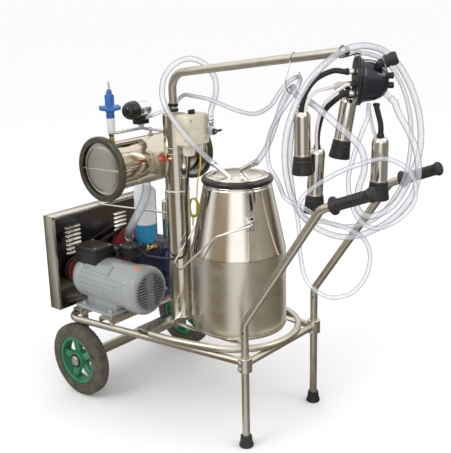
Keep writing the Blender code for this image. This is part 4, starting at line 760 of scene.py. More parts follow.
def frame_loop():
    """The bent loop of tube, its cross tube, the leg clamps with their bolts, and welds."""
    rear = rail_y(RAIL_REAR_X)
    corners = [(-0.004, -rail_y(0), RAIL_Z), (RAIL_REAR_X, -rear, RAIL_Z),
               (RAIL_REAR_X, rear, RAIL_Z), (-0.004, rail_y(0), RAIL_Z)]
    solids = [sweep(filleted(corners, 0.048, 12), TUBE_R, "tube", 32),
              rod((0, -LEG_Y, RAIL_Z), (0, LEG_Y, RAIL_Z), TUBE_R - 0.0004, "tube")]
    for side in (-1, 1):
        y = side * LEG_Y
        profile = [(COLLAR_R, 0.022), (COLLAR_R, -0.022), (LEG_R + GAP, -0.022), (LEG_R + GAP, 0.022)]
        solids.append(lathe(profile, (0, y, RAIL_Z), UP, "sheet", 48, True, 0.002))
        for lift in (-0.011, 0.011):
            solids += bolt((-0.004, side * (LEG_Y + COLLAR_R - 0.002), RAIL_Z + lift), (0, side, 0))
        solids.append(ring((0, side * (LEG_Y - COLLAR_R), RAIL_Z), FAR, TUBE_R, 0.0022, "sheet"))
    part("frame_loop", solids)


def channel(x, half_length, width):
    """A pressed channel across the trolley, its open side down."""
    w, z0, top, wall = width / 2, CHANNEL_BASE, DECK_Z, 0.003
    outline = [(x - w, z0), (x - w, top), (x + w, top), (x + w, z0), (x + w - wall, z0),
               (x + w - wall, top - wall), (x - w + wall, top - wall), (x - w + wall, z0)]
    return prism(outline, -half_length, half_length, "Y", "sheet", 0.0010)


def bucket_cradle():
    """The post's channel, the hoop round the bucket's foot and the bars under it."""
    reach, z = 0.188, CHANNEL_BASE + TUBE_R
    path = [(-0.346, -0.232, z), (-0.290, -0.228, z), (-0.230, -0.218, z)]
    for step in range(13):
        angle = radians(-75 + 150 * step / 12)
        stretch = 1 + 0.04 * abs(sin(angle))
        path.append((BUCKET_X - 0.002 + reach * cos(angle), reach * stretch * sin(angle), z))
    path += [(x, -y, z) for x, y, z in reversed(path[:3])]
    solids = [sweep(smooth_route(path, 0.008), TUBE_R - 0.0003, "tube", 32),
              channel(-0.3725, 0.238, 0.055)]
    for side in (-1, 1):
        y = side * 0.126
        solids.append(slab((-0.370, y - 0.011, DECK_Z - 0.005), (-0.028, y + 0.011, BUCKET_BASE - GAP),
                           "sheet", 0.0015))
    part("bucket_cradle", solids)


def motor_channel():
    """The channel under the motor's and the pump's front feet."""
    part("front_motor_channel",
                 [channel(-0.540, 0.252, 0.055)])


def leg(side, where):
    """One leg bent forward into its handle, with a rubber foot and a black disc of painted shade for a
    hole.
    """
    y = side * LEG_Y
    corners = [(0, y, 0.006), (0, y, BEND_Z), (0.262, y, 0.792), (0.408, y, 0.852)]
    foot = mm((0, 36), (16.5, 36), (17.5, 34), (17.5, 28), (19, 24), (18, 20), (22.5, 6), (22.5, 2),
              (21, 0), (0, 0))
    solids = [sweep(filleted(corners, [0.050, 0.040], 12), LEG_R, "tube", 32),
              lathe(foot, (0, y, 0), UP, "rubber", 48),
              # painted shade: a thin black disc stands for the dark inside of the hole
              rod((0.003, y - 0.011, BEND_Z - 0.026), (0.004, y - 0.0122, BEND_Z - 0.026), 0.0026,
                  "painted_shade_black", 20, 0.0002)]
    part("leg_" + where, solids)


def grip(side, where):
    """A moulded grip with flared ends and fine finger ribs."""
    start, end = vec(0.300, 0, 0.8076), vec(0.408, 0, 0.852)
    length, bore = (end - start).length, LEG_R + GAP
    profile = [(0, length + 0.010), (0.0160, length + 0.010), (0.0195, length + 0.006),
               (0.0200, length + 0.001), (0.0165, length - 0.006)]
    for i in range(9):
        h = length - 0.014 - i * 0.0095
        profile += [(0.0162, h), (0.0153, h - 0.0020), (0.0153, h - 0.0030), (0.0162, h - 0.0050)]
    profile += [(0.0158, 0.014), (0.0180, 0.010), (0.0245, 0.005), (0.0248, 0.001), (0.0235, 0),
                (bore, 0), (bore, length + GAP), (0, length + GAP)]
    solids = [lathe(profile, start + vec(0, side * LEG_Y, 0), end - start, "rubber", 48)]
    part("grip_" + where, solids)


# ---- axle and wheels ------------------------------------------------------------------
def axle_carrier():
    """The square axle beam with its shaft, hangers and caps, and the rear channel."""
    half, inner = 0.014, WHEEL_Y_OUT - WHEEL_WIDTH - 0.004
    solids = [slab((WHEEL_X - half, -inner, WHEEL_R - half), (WHEEL_X + half, inner, WHEEL_R + half),
                   "tube", 0.003),
              rod((WHEEL_X, -WHEEL_Y_OUT - 0.004, WHEEL_R), (WHEEL_X, WHEEL_Y_OUT + 0.004, WHEEL_R),
                  0.0095, "zinc", 32, 0.001),
              channel(-0.678, 0.252, 0.040)]
    for side in (-1, 1):
        low, high = sorted((side * 0.222, side * 0.229))
        solids.append(slab((WHEEL_X - 0.016, low, WHEEL_R), (WHEEL_X + 0.010, high, DECK_Z - 0.001),
                           "tube", 0.0012))
        at = vec(WHEEL_X, side * (WHEEL_Y_OUT + 0.0022), WHEEL_R)
        solids.append(lathe(mm((0, 6), (12, 5.5), (17.5, 2.8), (18, 0), (0, 0)), at,
                            (0, side, 0), "zinc", 40))
    part("axle_carrier", solids)


SPOKES, FIRST_SPOKE = 5, 30            # the first one's angle is in degrees
SPOKE_AND_RIB = (                      # half width, from and to radius, back, front, edge
    (0.0120, 0.022, RIM_R - 0.006, -0.034, -0.015, 0.0028),
    (0.0030, 0.022, RIM_R - 0.007, -0.040, -0.011, 0.0020))


def wheel_face(side):
    """The middle of a wheel's outer face, and the way it faces."""
    return vec(WHEEL_X, side * WHEEL_Y_OUT, WHEEL_R), vec(0, side, 0)


def tyre(side, where):
    """A solid tyre with a moulded sidewall bead and two staggered rows of tread bars."""
    origin, outward = wheel_face(side)
    w = WHEEL_WIDTH
    half = [(RIM_R, 0.0), (0.0930, 0.0), (0.0945, -0.0012), (0.0960, -0.0012), (0.0975, 0.0),
            (0.1080, -0.0004), (0.1200, -0.0042), (0.1247, -0.0090), (0.1268, -0.0140),
            (0.1277, -0.0170), (0.1268, -0.0176), (0.1268, -0.0190), (0.1280, -0.0197)]
    profile = half + [(r, -w - h) for r, h in reversed(half)]
    solids = [lathe(profile, origin, outward, "tyre", 120, True, 0.0006)]
    for low, high, stagger in ((-0.0155, -0.0075, 0.0), (-w + 0.0075, -w + 0.0155, 0.5)):
        for turn in spun(axis_matrix(origin, outward), 60, stagger):
            solids.append(slab((0.1225, -0.0030, low), (0.12645, 0.0030, high), "tyre", 0.0007, 1, turn))
    part("tyre_" + where, solids, "wheel_" + where)


def hub(side, where):
    """A cast centre: lipped rim, five ribbed spokes and a bored boss."""
    origin, outward = wheel_face(side)
    r = RIM_R - GAP
    rim = [(r, -0.004), (r, -0.044), (r - 0.0097, -0.044), (r - 0.0102, -0.040), (r - 0.0082, -0.034),
           (r - 0.0082, -0.014), (r - 0.0102, -0.008), (r - 0.0097, -0.004)]
    boss = mm((26, 0), (28, -6), (28, -40), (26, -46), (10.2, -46), (10.2, 0))
    solids = [lathe(rim, origin, outward, "green", 96, True, 0.001),
              lathe(boss, origin, outward, "green", 64, True, 0.0015),
              band(origin + outward * 0.0006, outward, 0.0190, 0.0024, "rubber", 0.0060, 48)]
    for turn in spun(axis_matrix(origin, outward), SPOKES, FIRST_SPOKE * SPOKES / 360):
        for half, inner, outer, back, front, ease in SPOKE_AND_RIB:
            solids.append(slab((inner, -half, back), (outer, half, front), "green", ease, 3, turn))
    part("hub_" + where, solids, "wheel_" + where)


# ---- post, mast and stays -------------------------------------------------------------
def post():
    """The thick upright tube with the tank's saddle, its flat strap and two scored lines."""
    low, wall = DECK_Z + GAP, 0.0018
    profile = [(0, POST_TOP), (POST_R - 0.001, POST_TOP), (POST_R, POST_TOP - 0.001), (POST_R, low),
               (POST_R - wall, low), (POST_R - wall, POST_TOP - wall), (0, POST_TOP - wall)]
    centre = vec(POST_X, POST_Y, 0)
    seat = TANK_R + 2 * GAP
    angles = [radians(-26 + 52 * i / 8) for i in range(9)]
    saddle = [(TANK_X + seat * cos(a), TANK_Z + seat * sin(a)) for a in angles]
    saddle += [(-0.3965, TANK_Z + 0.040), (-0.3965, TANK_Z - 0.040)]
    strap = mm((-512, -192), (-488, -192), (-488, -88), (-396.2, -88), (-396.2, -64), (-488, -64),
               (-512, -60))
    solids = [lathe(profile, centre, UP, "post_side", 96, False, 0.0006),
              prism(saddle, -0.100, -0.030, "Y", "tube", 0.0008),
              prism(strap, 0.9175, 0.9215, "Z", "zinc", 0.0008),
              ring(centre + vec(0, 0, low + 0.0012), UP, POST_R - 0.0015, 0.0024, "sheet", 64)]
    for height in (0.853, 0.872):
        solids.append(ring(centre + vec(0, 0, height), UP, POST_R + 0.0004, 0.0009, "zinc", 64))
    part("post", solids)


def cable_tie():
    """The white tie that holds the motor's cable to the post."""
    centre = vec(POST_X, POST_Y, 0.7345)
    solids = [band(centre, UP, POST_R + 0.0006, 0.0042, "white", 0.0012, 72),
              slab(centre + vec(-0.004, -POST_R - 0.0060, -0.0035),
                   centre + vec(0.003, -POST_R - 0.0008, 0.0035), "white", 0.0008)]
    piece("cable_tie", "chassis", [], solids)


def mast_bar():
    """The thin tube that rises from the post and bends forward, with its clip."""
    x, y = -0.364, -0.066
    corners = [(x, y, POST_TOP + GAP), (x, y, 1.099), BAR_END]
    solids = [sweep(filleted(corners, 0.055, 14), BAR_R, "tube", 32),
              rod(BAR_END - vec(0.004, 0, 0.0006), BAR_END + vec(0.0012, 0, 0.0002), BAR_R - 0.0012,
                  "black", 32, 0.0008)]
    for height in (POST_TOP + 0.012, POST_TOP + 0.028):
        solids.append(band((x, y, height), UP, BAR_R + 0.0002, 0.009, "gloss_black", 0.0034))
    solids += bolt((x - 0.006, y - BAR_R - 0.003, POST_TOP + 0.020), NEAR, "zinc", 0.0045, 0.004)
    part("mast_bar", solids)


def bar_point(x, drop=0.0):
    """A point of the mast's bar at x, or below it."""
    slope = (BAR_END.z - BAR_START.z) / (BAR_END.x - BAR_START.x)
    return vec(x, BAR_START.y, BAR_START.z + slope * (x - BAR_START.x) - drop)


def round_bar(x, wire, first, last):
    """A wire's way round the bar, between two angles in degrees."""
    around = BAR_R + wire + GAP + 0.001
    angles = [radians(first + (last - first) * i / 7) for i in range(8)]
    return [bar_point(x) + vec(0, around * cos(a), around * sin(a)) for a in angles]


CLAW_EYE = (0.020, CLAW_Z + 0.068)


def hooks():
    """The wire loop that the hoses pass through and the wire that the claw hangs on."""
    wire, half = 0.0016, 0.034
    low = bar_point(0.092, 0.0955)
    path = round_bar(0.092, wire, -30, 210)
    path += [low + vec(0, -half * a, h) for a, h in
             ((0.75, 0.060), (1.0, 0.036), (0.75, 0.010), (0.0, 0.0), (-0.75, 0.010), (-1.0, 0.036),
              (-0.85, 0.056))]
    part("hose_hook",
          [sweep(smooth_route(path, 0.0025), wire, "zinc", 14)])
    eye = cluster(*CLAW_EYE)
    path = round_bar(0.247, wire, -60, 200)
    path += [vec(0.258, -0.089, 1.172), eye + TOWARD * 0.020 + vec(-0.004, 0, 0.002),
             eye + TOWARD * 0.010, eye, eye - TOWARD * 0.010,
             eye - TOWARD * 0.016 + vec(0, 0, 0.006)]
    part("cluster_hook",
          [sweep(smooth_route(path, 0.0025), wire, "gloss_black", 14)])


# ---- vacuum tank and its fittings -----------------------------------------------------
REGULATOR = vec(TANK_X, -0.205, TANK_Z + TANK_R)
TANK_DISH = [(0, 0.0075), (0.30 * PLATE_R, 0.0074), (0.55 * PLATE_R, 0.0068), (0.74 * PLATE_R, 0.0052),
             (0.80 * PLATE_R, 0.0034), (0.86 * PLATE_R, 0.0046), (PLATE_R, 0.0046)]


def tank_shell():
    """The polished barrel with its weld beads, the far end plate and the regulator's socket."""
    y0 = TANK_NEAR_Y + 0.014
    far = TANK_FAR_Y - 0.014 - y0
    inner = TANK_R - 0.002
    origin = vec(TANK_X, y0, TANK_Z)
    barrel = [(TANK_R, far), (TANK_R, 0), (inner, 0), (inner, far)]
    end = [(r, far + h) for r, h in TANK_DISH] + [(PLATE_R, far), (0, far)]
    solids = [lathe(barrel, origin, FAR, "tank_side", 128, True, 0.0008),
              lathe(end, origin, FAR, "tank_face", 128)]
    for y in (0.004, far - 0.003):
        solids.append(ring(origin + vec(0, y, 0), FAR, TANK_R, 0.0022, "tank_side", 96))
    solids.append(rod(REGULATOR - vec(0, 0, 0.004), REGULATOR + vec(0, 0, 0.0008), 0.012, "brass", 32))
    part("tank_shell", solids)


def tank_cover():
    """The dished plate on the near end, and the wire that holds it."""
    origin = vec(TANK_X, TANK_NEAR_Y + 0.014, TANK_Z)
    tie = origin + vec(0, -0.0098, 0)
    half_wire = [vec(0.092, 0, 0.0036), vec(0.1030, 0.004, 0.004)]
    wire = [tie + vec(-p.x, p.y, -p.z) for p in reversed(half_wire)]
    wire += [tie + vec(0.0, -0.0003, 0)] + [tie + p for p in half_wire]
    part("tank_cover",
         [lathe(TANK_DISH + [(PLATE_R, GAP), (0, GAP)], origin, NEAR, "tank_face", 128),
          sweep(wire, 0.0016, "wire", 16)])


def tank_seals():
    """The rubber ring round each end."""
    r, inside = TANK_SEAL_R, PLATE_R + GAP
    section = [(r - 0.004, 0.0138), (r - 0.0008, 0.0105), (r, 0.0075), (r, 0.0030),
               (r - 0.0020, 0.0015), (r - 0.0005, 0.0), (r - 0.0010, -0.0035), (r - 0.0045, -0.0050),
               (inside, -0.0050), (inside, 0.0110), (inside - 0.0075, 0.0100), (inside - 0.0070, 0.0128)]
    for where, y, outward in (("near", TANK_NEAR_Y + 0.014, NEAR), ("far", TANK_FAR_Y - 0.014, FAR)):
        part("tank_seal_" + where,
             [lathe(section, (TANK_X, y, TANK_Z), outward, "tank_ring", 160, True, 0.0012)])


def regulator():
    """Brass nipple, clear sleeve, and the ribbed blue housing with its lobed flange."""
    nipple = mm((0, 34), (10.5, 34), (7, 18), (8.5, 12), (8.5, 1.2), (0, 1.2))
    sleeve = mm((12.6, 78), (12.6, 36), (11.2, 30), (9.2, 30), (10.2, 36), (10.2, 78))
    core = mm((0, 76), (9.8, 76), (9.8, 58), (7, 56), (7, 36), (0, 36))
    housing = mm((0, 140), (2.4, 140), (2.4, 166), (6, 166), (8.5, 160), (9, 152), (13, 150),
                 (13.6, 140), (14.3, 119), (20, 116), (33, 112), (33.5, 106), (30, 103), (18, 102),
                 (15, 100), (12, 94), (13, 88), (13, 78), (0, 78))
    solids = [lathe(nipple, REGULATOR, UP, "brass", 48), lathe(sleeve, REGULATOR, UP, "sleeve", 48, True),
              lathe(core, REGULATOR, UP, "brass", 32), lathe(housing, REGULATOR, UP, "blue", 64)]
    for turn in spun(Matrix.Translation(REGULATOR), 10):
        solids.append(slab((0.0115, -0.0011, 0.120), (0.0147, 0.0011, 0.148), "blue", 0.0005, 1, turn))
    for turn in spun(Matrix.Translation(REGULATOR), 6, 0.5):
        solids.append(slab((0.0240, -0.0035, 0.1035), (0.0345, 0.0035, 0.1155), "blue", 0.0014, 2, turn))
    part("regulator_body", solids)


def regulator_pin():
    """The stem that lifts, its cross pin and its spring."""
    top = REGULATOR + vec(0, 0, 0.142)
    coil = [top + vec(0.0040 * cos(a * 0.8), 0.0040 * sin(a * 0.8), 0.0270 + a * 0.00035)
            for a in range(0, 48)]
    part("regulator_pin",
          [rod(top, top + vec(0, 0, 0.048), 0.0016, "zinc", 24),
           rod(top + vec(-0.0055, 0, 0.0465), top + vec(0.0055, 0, 0.0465), 0.0012, "zinc", 20),
           sweep(coil, 0.0006, "zinc", 8)], "regulator_stem")


def pulsator_cover():
    """The black domed cover, scalloped round its edge, with three screws."""
    dome = mm((0, 46), (10, 45), (17.5, 41), (23, 35), (27, 26.5), (29.2, 17.5), (30, 7), (30, 0),
              (0, 0))
    solids = [lathe(dome, PULSATOR, NEAR, "gloss_black", 72)]
    for i in range(14):
        angle = 2 * pi * i / 14
        at = PULSATOR + vec(0.0293 * cos(angle), -0.005, 0.0293 * sin(angle))
        end = at + vec(-0.005 * cos(angle), -0.020, -0.005 * sin(angle))
        solids.append(rod(at, end, 0.0014, "gloss_black", 10, 0.0003))
    for angle in (radians(40), radians(160), radians(280)):
        at = PULSATOR + vec(0.0150 * cos(angle), -0.0422, 0.0150 * sin(angle))
        solids.append(screw(at, (0.3 * cos(angle), -1, 0.3 * sin(angle)), 0.0022))
    part("pulsator_cover", solids)


def pulsator_body():
    """The chrome barrel, its valve block, the ribbed outlet and the stem down to the strap."""
    x, y, z = PULSATOR
    stem = vec(x, y + 0.024, 0.9218)
    barrel = mm((0, 56), (18.5, 56), (22, 52.8), (23.7, 47), (23.7, 34), (24.5, 32), (24.5, 0),
                (0, 0))
    solids = [lathe(barrel, PULSATOR + vec(0, GAP, 0), FAR, "chrome", 72),
              slab((x - 0.016, y + 0.001, z - 0.047), (x + 0.016, y + 0.046, z - 0.013), "gloss_black",
                   0.003),
              slab((x - 0.0175, y + 0.009, z - 0.034), (x + 0.0175, y + 0.039, z - 0.028), "black",
                   0.001),
              rod(*PULSATOR_OUTLET, 0.0062, "chrome", 32),
              rod(stem, (x, y + 0.024, z - 0.040), 0.0055, "chrome", 32),
              nut(stem, UP, 0.0095, 0.007, "chrome")]
    first, last = PULSATOR_OUTLET
    for share in (0.55, 0.70, 0.85):
        solids.append(ring(first.lerp(last, share), last - first, 0.0060, 0.0006, "chrome", 32))
    part("pulsator_body", solids)


def strap_foot():
    """The short stud that carries the strap on the tank."""
    foot = vec(TANK_X, -0.036, TANK_Z + TANK_R + 0.0004)
    piece("strap_foot", "chassis", [],
          [rod(foot, foot + vec(0, 0, 0.0258), 0.0040, "zinc", 24), nut(foot, UP, 0.009, 0.006, "zinc")])


KNOB = vec(-0.372, -0.107, 0.842)


def drain_knob():
    """The red lobed knob on its spindle, with a brass nut."""
    knob = vec(0, -0.018, 0)
    solids = [rod(KNOB + vec(0, -0.004, 0), KNOB + knob, 0.0105, "red", 40, 0.0016),
              rod(KNOB + vec(0, 0.0015, 0), KNOB + vec(0, -0.006, 0), 0.0045, "brass", 24),
              lathe(mm((0, 1.8), (4.2, 1.4), (5, 0), (0, 0)), KNOB + knob, NEAR, "zinc", 24)]
    for i in range(8):
        angle = 2 * pi * i / 8
        at = KNOB + vec(0.0098 * cos(angle), 0, 0.0098 * sin(angle))
        solids.append(rod(at + vec(0, -0.0045, 0), at + vec(0, -0.0175, 0), 0.0034, "red", 20, 0.0010))
    part("valve_knob", solids, "drain_knob")


def drain_fitting():
    """The small brass valve body beside the knob."""
    at = KNOB + vec(0.017, -0.0005, -0.002)
    piece("drain_fitting", "chassis", [],
          [rod(at, at + vec(0.014, 0.0045, 0), 0.0042, "brass", 24, 0.0006),
           ring(at + vec(0.004, 0.0013, 0), (0.95, 0.3, 0), 0.0044, 0.0010, "brass", 24)])


# ---- switch box and vacuum tap --------------------------------------------------------
def switch_box():
    """The two-part moulded housing, its screws, glands, and the tap on its side."""
    seam = 0.930
    low = vec(BOX_LOW.x, BOX_LOW.y, BOX_LOW.z + 0.034)
    solids = [slab(low, (BOX_HIGH.x, BOX_HIGH.y, seam - 0.0006), "cream", 0.006, 4),
              slab((low.x, low.y, seam + 0.0006), BOX_HIGH, "cream", 0.008, 4),
              slab(low + vec(0.0015, 0.0015, 0.03), (BOX_HIGH.x - 0.0015, BOX_HIGH.y - 0.0015, seam + 0.01),
                   "cream", 0.004, 2)]
    for y, z in mm((-94, 965), (-30, 965), (-94, 901), (-30, 901)):
        solids.append(screw((BOX_HIGH.x, y, z), FORE, 0.0032))
        solids.append(lathe(mm((5.2, 1), (5.2, 0), (4.2, 0), (4.2, 1)),
                            (BOX_HIGH.x, y, z), FORE, "cream", 24, True, 0.0003))
    for x, z in mm((-300, 955), (-276, 905)):
        solids.append(screw((x, BOX_LOW.y, z), NEAR, 0.0026, "brass"))
    gland = mm((0, 50), (20, 50), (20, 32.5), (18.5, 31.5), (18.5, 6), (16.5, 0), (0, 0))
    solids.append(lathe(gland, (-0.298, -0.072, BOX_LOW.z), UP, "cream", 64))
    for turn in spun(Matrix.Translation((-0.298, -0.072, BOX_LOW.z)), 20):
        solids.append(slab((0.0165, -0.0010, 0.008), (0.0196, 0.0010, 0.030), "cream", 0.0004, 1, turn))
    solids.append(lathe(mm((0, 50), (9.5, 50), (9.5, 16), (8, 12), (0, 12)),
                        (-0.290, -0.030, BOX_LOW.z), UP, "cream", 40))
    ferrule = mm((0, 44), (7, 44), (9.2, 37), (9.5, 34), (7.8, 32), (9.5, 28), (9.5, 26), (7, 24),
                 (7, 14), (11, 10), (11, -12), (0, -12))
    solids += [lathe(ferrule, TAP, UP, "zinc", 48),
               rod(TAP + vec(-0.020, 0, 0), TAP, 0.0065, "zinc", 32),
               rod(TAP, TAP + vec(0.0111, 0, 0), 0.0060, "zinc", 32)]
    part("switch_box", solids)


def switch_knob():
    """The knurled knob on top of the box, with its grip bar and white mark."""
    base = vec(-0.293, -0.061, BOX_HIGH.z + GAP)
    solids = [rod(base, base + vec(0, 0, 0.008), 0.0105, "black", 48, 0.0010),
              slab(base + vec(-0.0035, -0.013, 0.002), base + vec(0.0035, 0.013, 0.013), "black",
                   0.0014, 3),
              slab(base + vec(-0.0005, -0.0125, 0.0128), base + vec(0.0005, -0.006, 0.0133),
                   "white", 0.0001, 1)]
    for turn in spun(Matrix.Translation(base), 24):
        solids.append(slab((0.0098, -0.0006, 0.001), (0.0110, 0.0006, 0.0075), "black", 0.0003, 1, turn))
    part("switch_knob", solids, "switch")


def tap_lever():
    """The tap's round cap with its short lever."""
    start = TAP + vec(0.0113, 0, 0)
    solids = [rod(start, start + vec(0.007, 0, 0), 0.0085, "black", 40, 0.0010),
              slab(start + vec(0.002, -0.004, -0.003), start + vec(0.007, 0.030, 0.004), "black",
                   0.0014, 3),
              ring(start + vec(0.0065, 0, 0), FORE, 0.0062, 0.0010, "black", 36),
              screw(start + vec(0.007, 0, 0), FORE, 0.0034)]
    part("tap_lever", solids, "tap")


# ---- motor, pump and belt drive -------------------------------------------------------
MOTOR_AXIS = vec(MOTOR_REAR_X, MOTOR_Y, MOTOR_Z)
MOTOR_LENGTH = MOTOR_MID_X - MOTOR_REAR_X
FINS, NO_FINS = 28, (216, 324)         # fins all round, but none between these angles, in degrees
PLATE_TURN = radians(132)              # where the data plate sits round the motor


def motor_barrel():
    """The motor's turned body and its lengthwise fins."""
    r, length = MOTOR_R, MOTOR_LENGTH
    profile = [(0, length), (r, length), (r, length - 0.022), (r - 0.0022, length - 0.024),
               (r - 0.0022, 0.052), (r, 0.050), (r, 0.030), (r - 0.003, 0.020), (r - 0.009, 0.009),
               (r - 0.020, 0.002), (0.030, 0.0), (0, 0.0)]
    solids = [lathe(profile, MOTOR_AXIS, FORE, "grey_paint", 128, False, 0.002)]
    for i in range(FINS):
        angle = 360.0 * i / FINS
        if NO_FINS[0] < angle < NO_FINS[1]:
            continue
        turn = Matrix.Translation(MOTOR_AXIS) @ Matrix.Rotation(radians(-angle), 4, "X")
        solids.append(slab((0.053, r - 0.0040, -0.0018), (length - 0.023, r - 0.0003, 0.0018),
                           "grey_paint", 0.0008, 2, turn))
    return solids


def motor_foot():
    """The cast foot, its tapering web and the four bolts."""
    base = DECK_Z + GAP
    web = [(-0.056, base + 0.006), (0.056, base + 0.006), (0.050, 0.345), (-0.050, 0.345)]
    solids = [slab((-0.700, MOTOR_Y - 0.088, base), (-0.520, MOTOR_Y + 0.088, base + 0.010),
                   "grey_paint", 0.003, 3),
              prism([(MOTOR_Y + a, b) for a, b in web], -0.680, -0.532, "X", "grey_paint", 0.003)]
    for x in (-0.672, -0.540):
        for side in (-1, 1):
            at = vec(x, MOTOR_Y + side * 0.072, base + 0.010)
            solids.append(slab(at + vec(-0.012, -0.011, -0.004), at + vec(0.012, 0.011, 0.002),
                               "grey_paint", 0.0025, 2))
            solids += bolt(at + vec(0, 0, 0.002), UP, "zinc", 0.0060, 0.0055)
    return solids


def data_plate():
    """The raised pad and the plain plate on it, held by two screws."""
    r = MOTOR_R
    turn = Matrix.Translation(MOTOR_AXIS) @ Matrix.Rotation(PLATE_TURN, 4, "X")
    solids = [slab((0.062, r - 0.0030, -0.017), (0.188, r + 0.0006, 0.017), "grey_paint", 0.0008, 2, turn),
              slab((0.067, r + 0.0002, -0.013), (0.183, r + 0.0012, 0.013), "grey_paint", 0.0004, 1, turn)]
    for x in (0.070, 0.180):
        at = turn @ vec(x, r + 0.0012, 0)
        solids.append(screw(at, (0, cos(PLATE_TURN), sin(PLATE_TURN)), 0.0018))
    return solids


def motor_frame():
    """The motor's body, foot and plate as one piece."""
    part("motor_frame", motor_barrel() + motor_foot() + data_plate())


def grille_slots(front):
    """Cutters for the rows of slots in the fan cover's face and the hole in its middle."""
    cutters = []
    for row in range(-5, 6):
        z = row * 0.0098
        outer = sqrt(0.058 ** 2 - z ** 2)
        inner = 0.011 + 0.012 * abs(row) / 5 * (1 if abs(row) < 4 else 0.4)
        for side in (-1, 1):
            y0, y1 = sorted((side * inner, side * outer))
            cutters.append(slab((-0.008, y0, z - 0.0021), (0.006, y1, z + 0.0021), "painted_shade_black", 0.0015, 2,
                                Matrix.Translation(front)))
    return cutters + [rod(front - vec(0.008, 0, 0), front + vec(0.006, 0, 0), 0.0028, "painted_shade_black", 20, 0)]


def fan_cover():
    """The pressed fan cover: slotted grille, screws, a plain orange patch, and a black disc of painted
    shade behind the slots.
    """
    front = vec(MOTOR_FRONT_X, MOTOR_Y, MOTOR_Z)
    origin = vec(MOTOR_MID_X + GAP, MOTOR_Y, MOTOR_Z)
    length, r = MOTOR_FRONT_X - MOTOR_MID_X - GAP, 0.0825
    profile = [(0, length), (0.060, length), (0.0700, length - 0.0012), (r - 0.0055, length - 0.0060),
               (r - 0.0015, length - 0.0125), (r, length - 0.020), (r, 0), (r - 0.002, 0),
               (r - 0.002, length - 0.020), (r - 0.0080, length - 0.0085), (0.0600, length - 0.003),
               (0, length - 0.003)]
    disc = mm((0, 0.6), (64, 0.6), (64, -2), (0, -2))
    solids = [carve(lathe(profile, origin, FORE, "grey_paint", 128, False, 0.0012), grille_slots(front)),
              carve(lathe(disc, front, FORE, "grille", 96, False, 0.0005), grille_slots(front)),
              # painted shade: a black disc behind the grille stands for the dark inside seen through the
              # slots
              rod(front - vec(0.012, 0, 0), front - vec(0.006, 0, 0), 0.060, "painted_shade_black", 64)]
    for angle in (radians(30), radians(150), radians(270)):
        outward = vec(0, cos(angle), sin(angle))
        solids.append(screw(origin + vec(0.010, 0, 0) + outward * r, outward, 0.0034))
    patch = Matrix.Translation(origin) @ Matrix.Rotation(radians(104), 4, "X")
    solids.append(slab((0.006, r - 0.0014, -0.010), (0.034, r + 0.0006, 0.010), "orange", 0.0006, 2, patch))
    part("fan_cover", solids)


BOXES = (                              # low corner, high corner, height of the lid
    (vec(-0.730, -0.203, 0.442), vec(-0.622, -0.118, 0.497), 0.017),
    (vec(-0.622, -0.104, 0.466), vec(-0.556, -0.036, 0.492), 0.015))
BOX_BRIDGES = (                        # the necks and feet that join them: corners, edge, segments
    ((-0.700, -0.122, 0.470), (-0.606, -0.086, 0.500), 0.003, 3),
    ((-0.628, -0.122, 0.474), (-0.600, -0.100, 0.488), 0.003, 3),
    ((-0.722, -0.190, 0.438), (-0.630, -0.130, 0.450), 0.002, 2),
    ((-0.616, -0.098, 0.4765), (-0.562, -0.062, 0.480), 0.002, 2))


def wiring_boxes():
    """The terminal box and the capacitor box: bodies, overlapping lids and lid screws."""
    solids = []
    inset = vec(0.0012, 0.0012, 0)
    for low, high, lid in BOXES:
        top = high.z + lid
        solids.append(slab(low + inset, high - inset, "black", 0.004, 3))
        solids.append(slab((low.x, low.y, high.z + 0.0008), (high.x, high.y, top), "black", 0.0045, 4))
        for x in (low.x + 0.010, high.x - 0.010):
            for y in (low.y + 0.010, high.y - 0.010):
                solids.append(screw((x, y, top), UP, 0.0028))
    solids += [slab(low, high, "black", edge, segments) for low, high, edge, segments in BOX_BRIDGES]
    solids.append(rod((-0.5565, -0.070, 0.493), (-0.552, -0.070, 0.493), 0.0075, "black", 32))
    part("wiring_boxes", solids)


GROOVE_DEPTH = 0.007                   # of the belt's groove in both pulleys
BELT_IN, BELT_OUT, BELT_HALF = 0.0012, 0.0095, 0.0054   # from the groove's floor; half its width
BELT_TAPER = 0.72                      # how wide the belt is inside, as a share of outside


def pulley(node, body, y, z, radius, shaft_r, machine_x):
    """A grooved pulley with a key, on a shaft that reaches the machine it drives or is driven by."""
    width = PULLEY_X1 - PULLEY_X0
    shaft_end = machine_x - GAP - PULLEY_X0
    floor_r, flange = radius - GROOVE_DEPTH, (width - 0.013) / 2
    profile = [(0, shaft_end), (shaft_r, shaft_end), (shaft_r, width + 0.008), (0.020, width + 0.007),
               (0.020, width), (radius * 0.86, width), (radius - 0.001, width), (radius, width - 0.001),
               (radius, width - flange + 0.001), (floor_r, width - flange), (floor_r, flange),
               (radius, flange - 0.001), (radius, 0.001), (radius - 0.001, 0), (0, 0)]
    at = vec(PULLEY_X0, y, z)
    key = vec(width, -0.002, shaft_r - 0.001)
    part(node,
         [lathe(profile, at, FORE, "red_paint", 96, False, 0.0008),
          rod(at + vec(width + 0.0075, 0, 0), at + vec(shaft_end, 0, 0), shaft_r, "zinc", 32),
          lathe([(0, 0.003), (shaft_r, 0.002), (shaft_r, 0), (0, 0)], at, (-1, 0, 0), "zinc", 32),
          slab(at + key, at + key + vec(0.008, 0.004, 0.003), "zinc", 0.0003, 1)], body)


